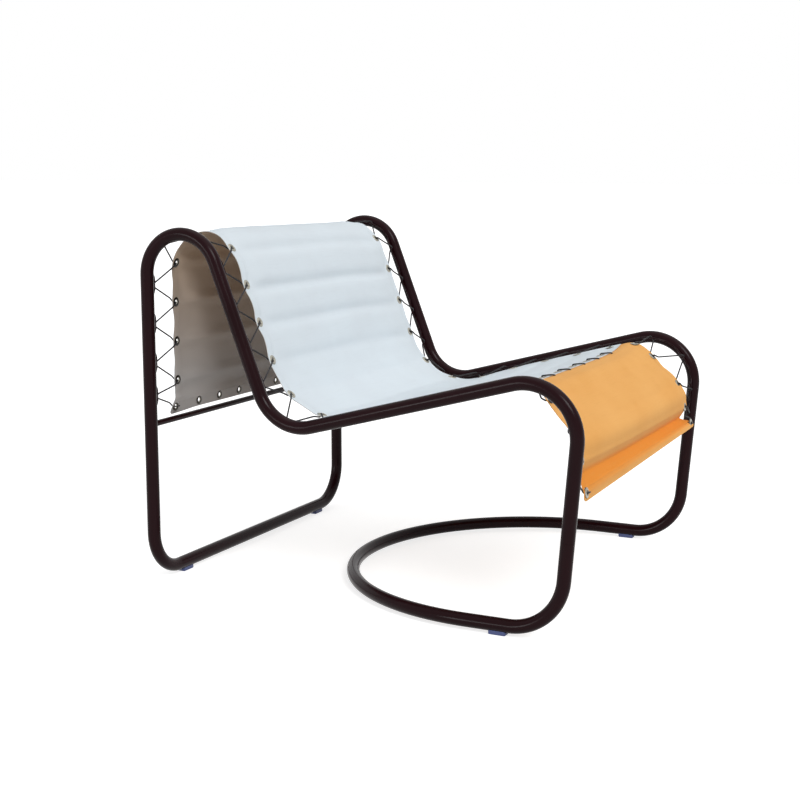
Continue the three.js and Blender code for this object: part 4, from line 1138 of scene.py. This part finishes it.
# Running cord of the seam: up through each eyelet, over the white hem and down a slit in the apron.
def seamCorners():
    edgePlace, edgeHeading = along(canvasPath, canvasEnd + cord["radius"])
    slitPlace, slitHeading = along(apronPath, slitStop)
    low = apron["drop"] + seamCord["lift"] + cord["radius"]
    corners = []
    for x in seamX:
        stops = (
            (x - 1.5, seamMiddle, seamHeading, -low), (x, seamMiddle, seamHeading, 0),
            (x, seamMiddle, seamHeading, seamCord["lift"] + 1.0),
            (x, edgePlace, edgeHeading, seamCord["over"]), (x, slitPlace, slitHeading, 2.4),
            (x, slitPlace, slitHeading, -1.5), (x + 1.5, slitPlace, slitHeading, -low - 3))
        drop = np.array([0, -seamDrop(x)])
        corners += [[at, *(place + outwardOf(heading) * lift + drop)] for at, place, heading, lift in stops]
    return corners


for sign, word, node in ((-1, "Left", "left"), (1, "Right", "right")):
    addLacingRod("lacingRod" + word, "lacing_rod_" + node, sign)
    for part, path, stops, bumps, eyeletX, shift in (
            ("seat", canvasPath, seatStops, seatBumps, seatEyeletX, whiteShift),
            ("apron", apronPath, apronStops, apronBumps, apronEyeletX, apronShift)):
        corners = lacingCorners(sign, path, stops, bumps, eyeletX, shift)
        addCord(f"{part}Lacing{word}", corners, [f"{part}_lacing_{node}"])
addCord("seamLacing", seamCorners(), ["seam_lacing"])
print("lacing made")


view = {
    "azimuth": -63.924,
    "elevation": 9.236,
    "distance": 3176.588,
    "target": (24.192, 96.313, 349.887),
    "focal": 1444.699 / 800,  # focal length over the picture's width
}
azimuth, elevation = math.radians(view["azimuth"]), math.radians(view["elevation"])
level = math.cos(elevation)
back = Vector((math.sin(azimuth) * level, -math.cos(azimuth) * level, math.sin(elevation)))
cameraData = bpy.data.cameras.new("camera")
cameraData.sensor_fit = "HORIZONTAL"
cameraData.sensor_width = 36
cameraData.lens = 36 * view["focal"]
camera = bpy.data.objects.new("camera", cameraData)
camera.location = (Vector(view["target"]) + back * view["distance"]) * mm
camera.rotation_euler = back.to_track_quat("Z", "Y").to_euler()
bpy.context.scene.collection.objects.link(camera)
bpy.context.scene.camera = camera

studio = {
    "key": {"strength": 1.65, "tilt": 50, "turn": -34, "spread": 24},
    "top": {"strength": 0.6, "tilt": 12, "turn": 30, "spread": 60},
    "side": {"strength": 0.55, "tilt": 84, "turn": -117, "spread": 16},  # low, for the bands on the tube
    "world": 0.38,
    "floorGlow": 0.74,
    "floorHalf": 60,  # metres
}


# Matt painted floor. It shows as white and still darkens where the chair shades it.
def paleFloor():
    material, tree, shader = newMaterial("matt_white_paint", **{
        "Roughness": 0.9, "Specular IOR Level": 0.1, "Emission Color": (1, 1, 1, 1)})
    place = addNode(tree, "TexCoord", output="Object")
    cloud = addNode(tree, "TexNoise", {"Vector": place, "Scale": 1 / (400 * mm)})
    tint = addNode(tree, "Mix", {0: cloud, 6: colour("#CCCCCC"), 7: colour("#D4D4D4")}, 2, data_type="RGBA")
    feed(tree, shader, Base_Color=tint, Emission_Strength=addNode(
        tree, "Math", {0: seenDirectly(tree), 1: studio["floorGlow"]}, operation="MULTIPLY"))
    return material


# One for a ray from the camera, or one that a gloss or a clear surface sends on, and nought otherwise.
def seenDirectly(tree):
    rays = [addNode(tree, "LightPath", output=f"Is {kind} Ray")
            for kind in ("Camera", "Glossy", "Transmission")]
    either = addNode(tree, "Math", {0: rays[0], 1: rays[1]}, operation="MAXIMUM")
    return addNode(tree, "Math", {0: either, 1: rays[2]}, operation="MAXIMUM")


floorMesh = bpy.data.meshes.new("floor")
reach = studio["floorHalf"]
floorMesh.from_pydata([(-reach, -reach, 0), (reach, -reach, 0), (reach, reach, 0), (-reach, reach, 0)], [],
                      [(0, 1, 2, 3)])
floorMesh.materials.append(paleFloor())
floor = bpy.data.objects.new("floor", floorMesh)
bpy.context.scene.collection.objects.link(floor)

world = bpy.data.worlds.new("studio")
bpy.context.scene.world = world
world.use_nodes = True
background = world.node_tree.nodes["Background"]
background.inputs["Color"].default_value = (1, 1, 1, 1)
feed(world.node_tree, background, Strength=addNode(
    world.node_tree, "Math", {0: seenDirectly(world.node_tree), 1: studio["world"]}, operation="MAXIMUM"))


# A broad soft lamp. It tilts from straight down, then turns about the upright.
def addSun(name, strength, tilt, turn, spread):
    data = bpy.data.lights.new(name, "SUN")
    data.energy = strength
    data.angle = math.radians(spread)
    lamp = bpy.data.objects.new(name, data)
    lamp.rotation_euler = (math.radians(tilt), 0, math.radians(turn))
    bpy.context.scene.collection.objects.link(lamp)


for name in ("key", "top", "side"):
    addSun(name + "Light", **studio[name])
bpy.context.scene.view_settings.view_transform = "Standard"
print("camera, floor and light made")
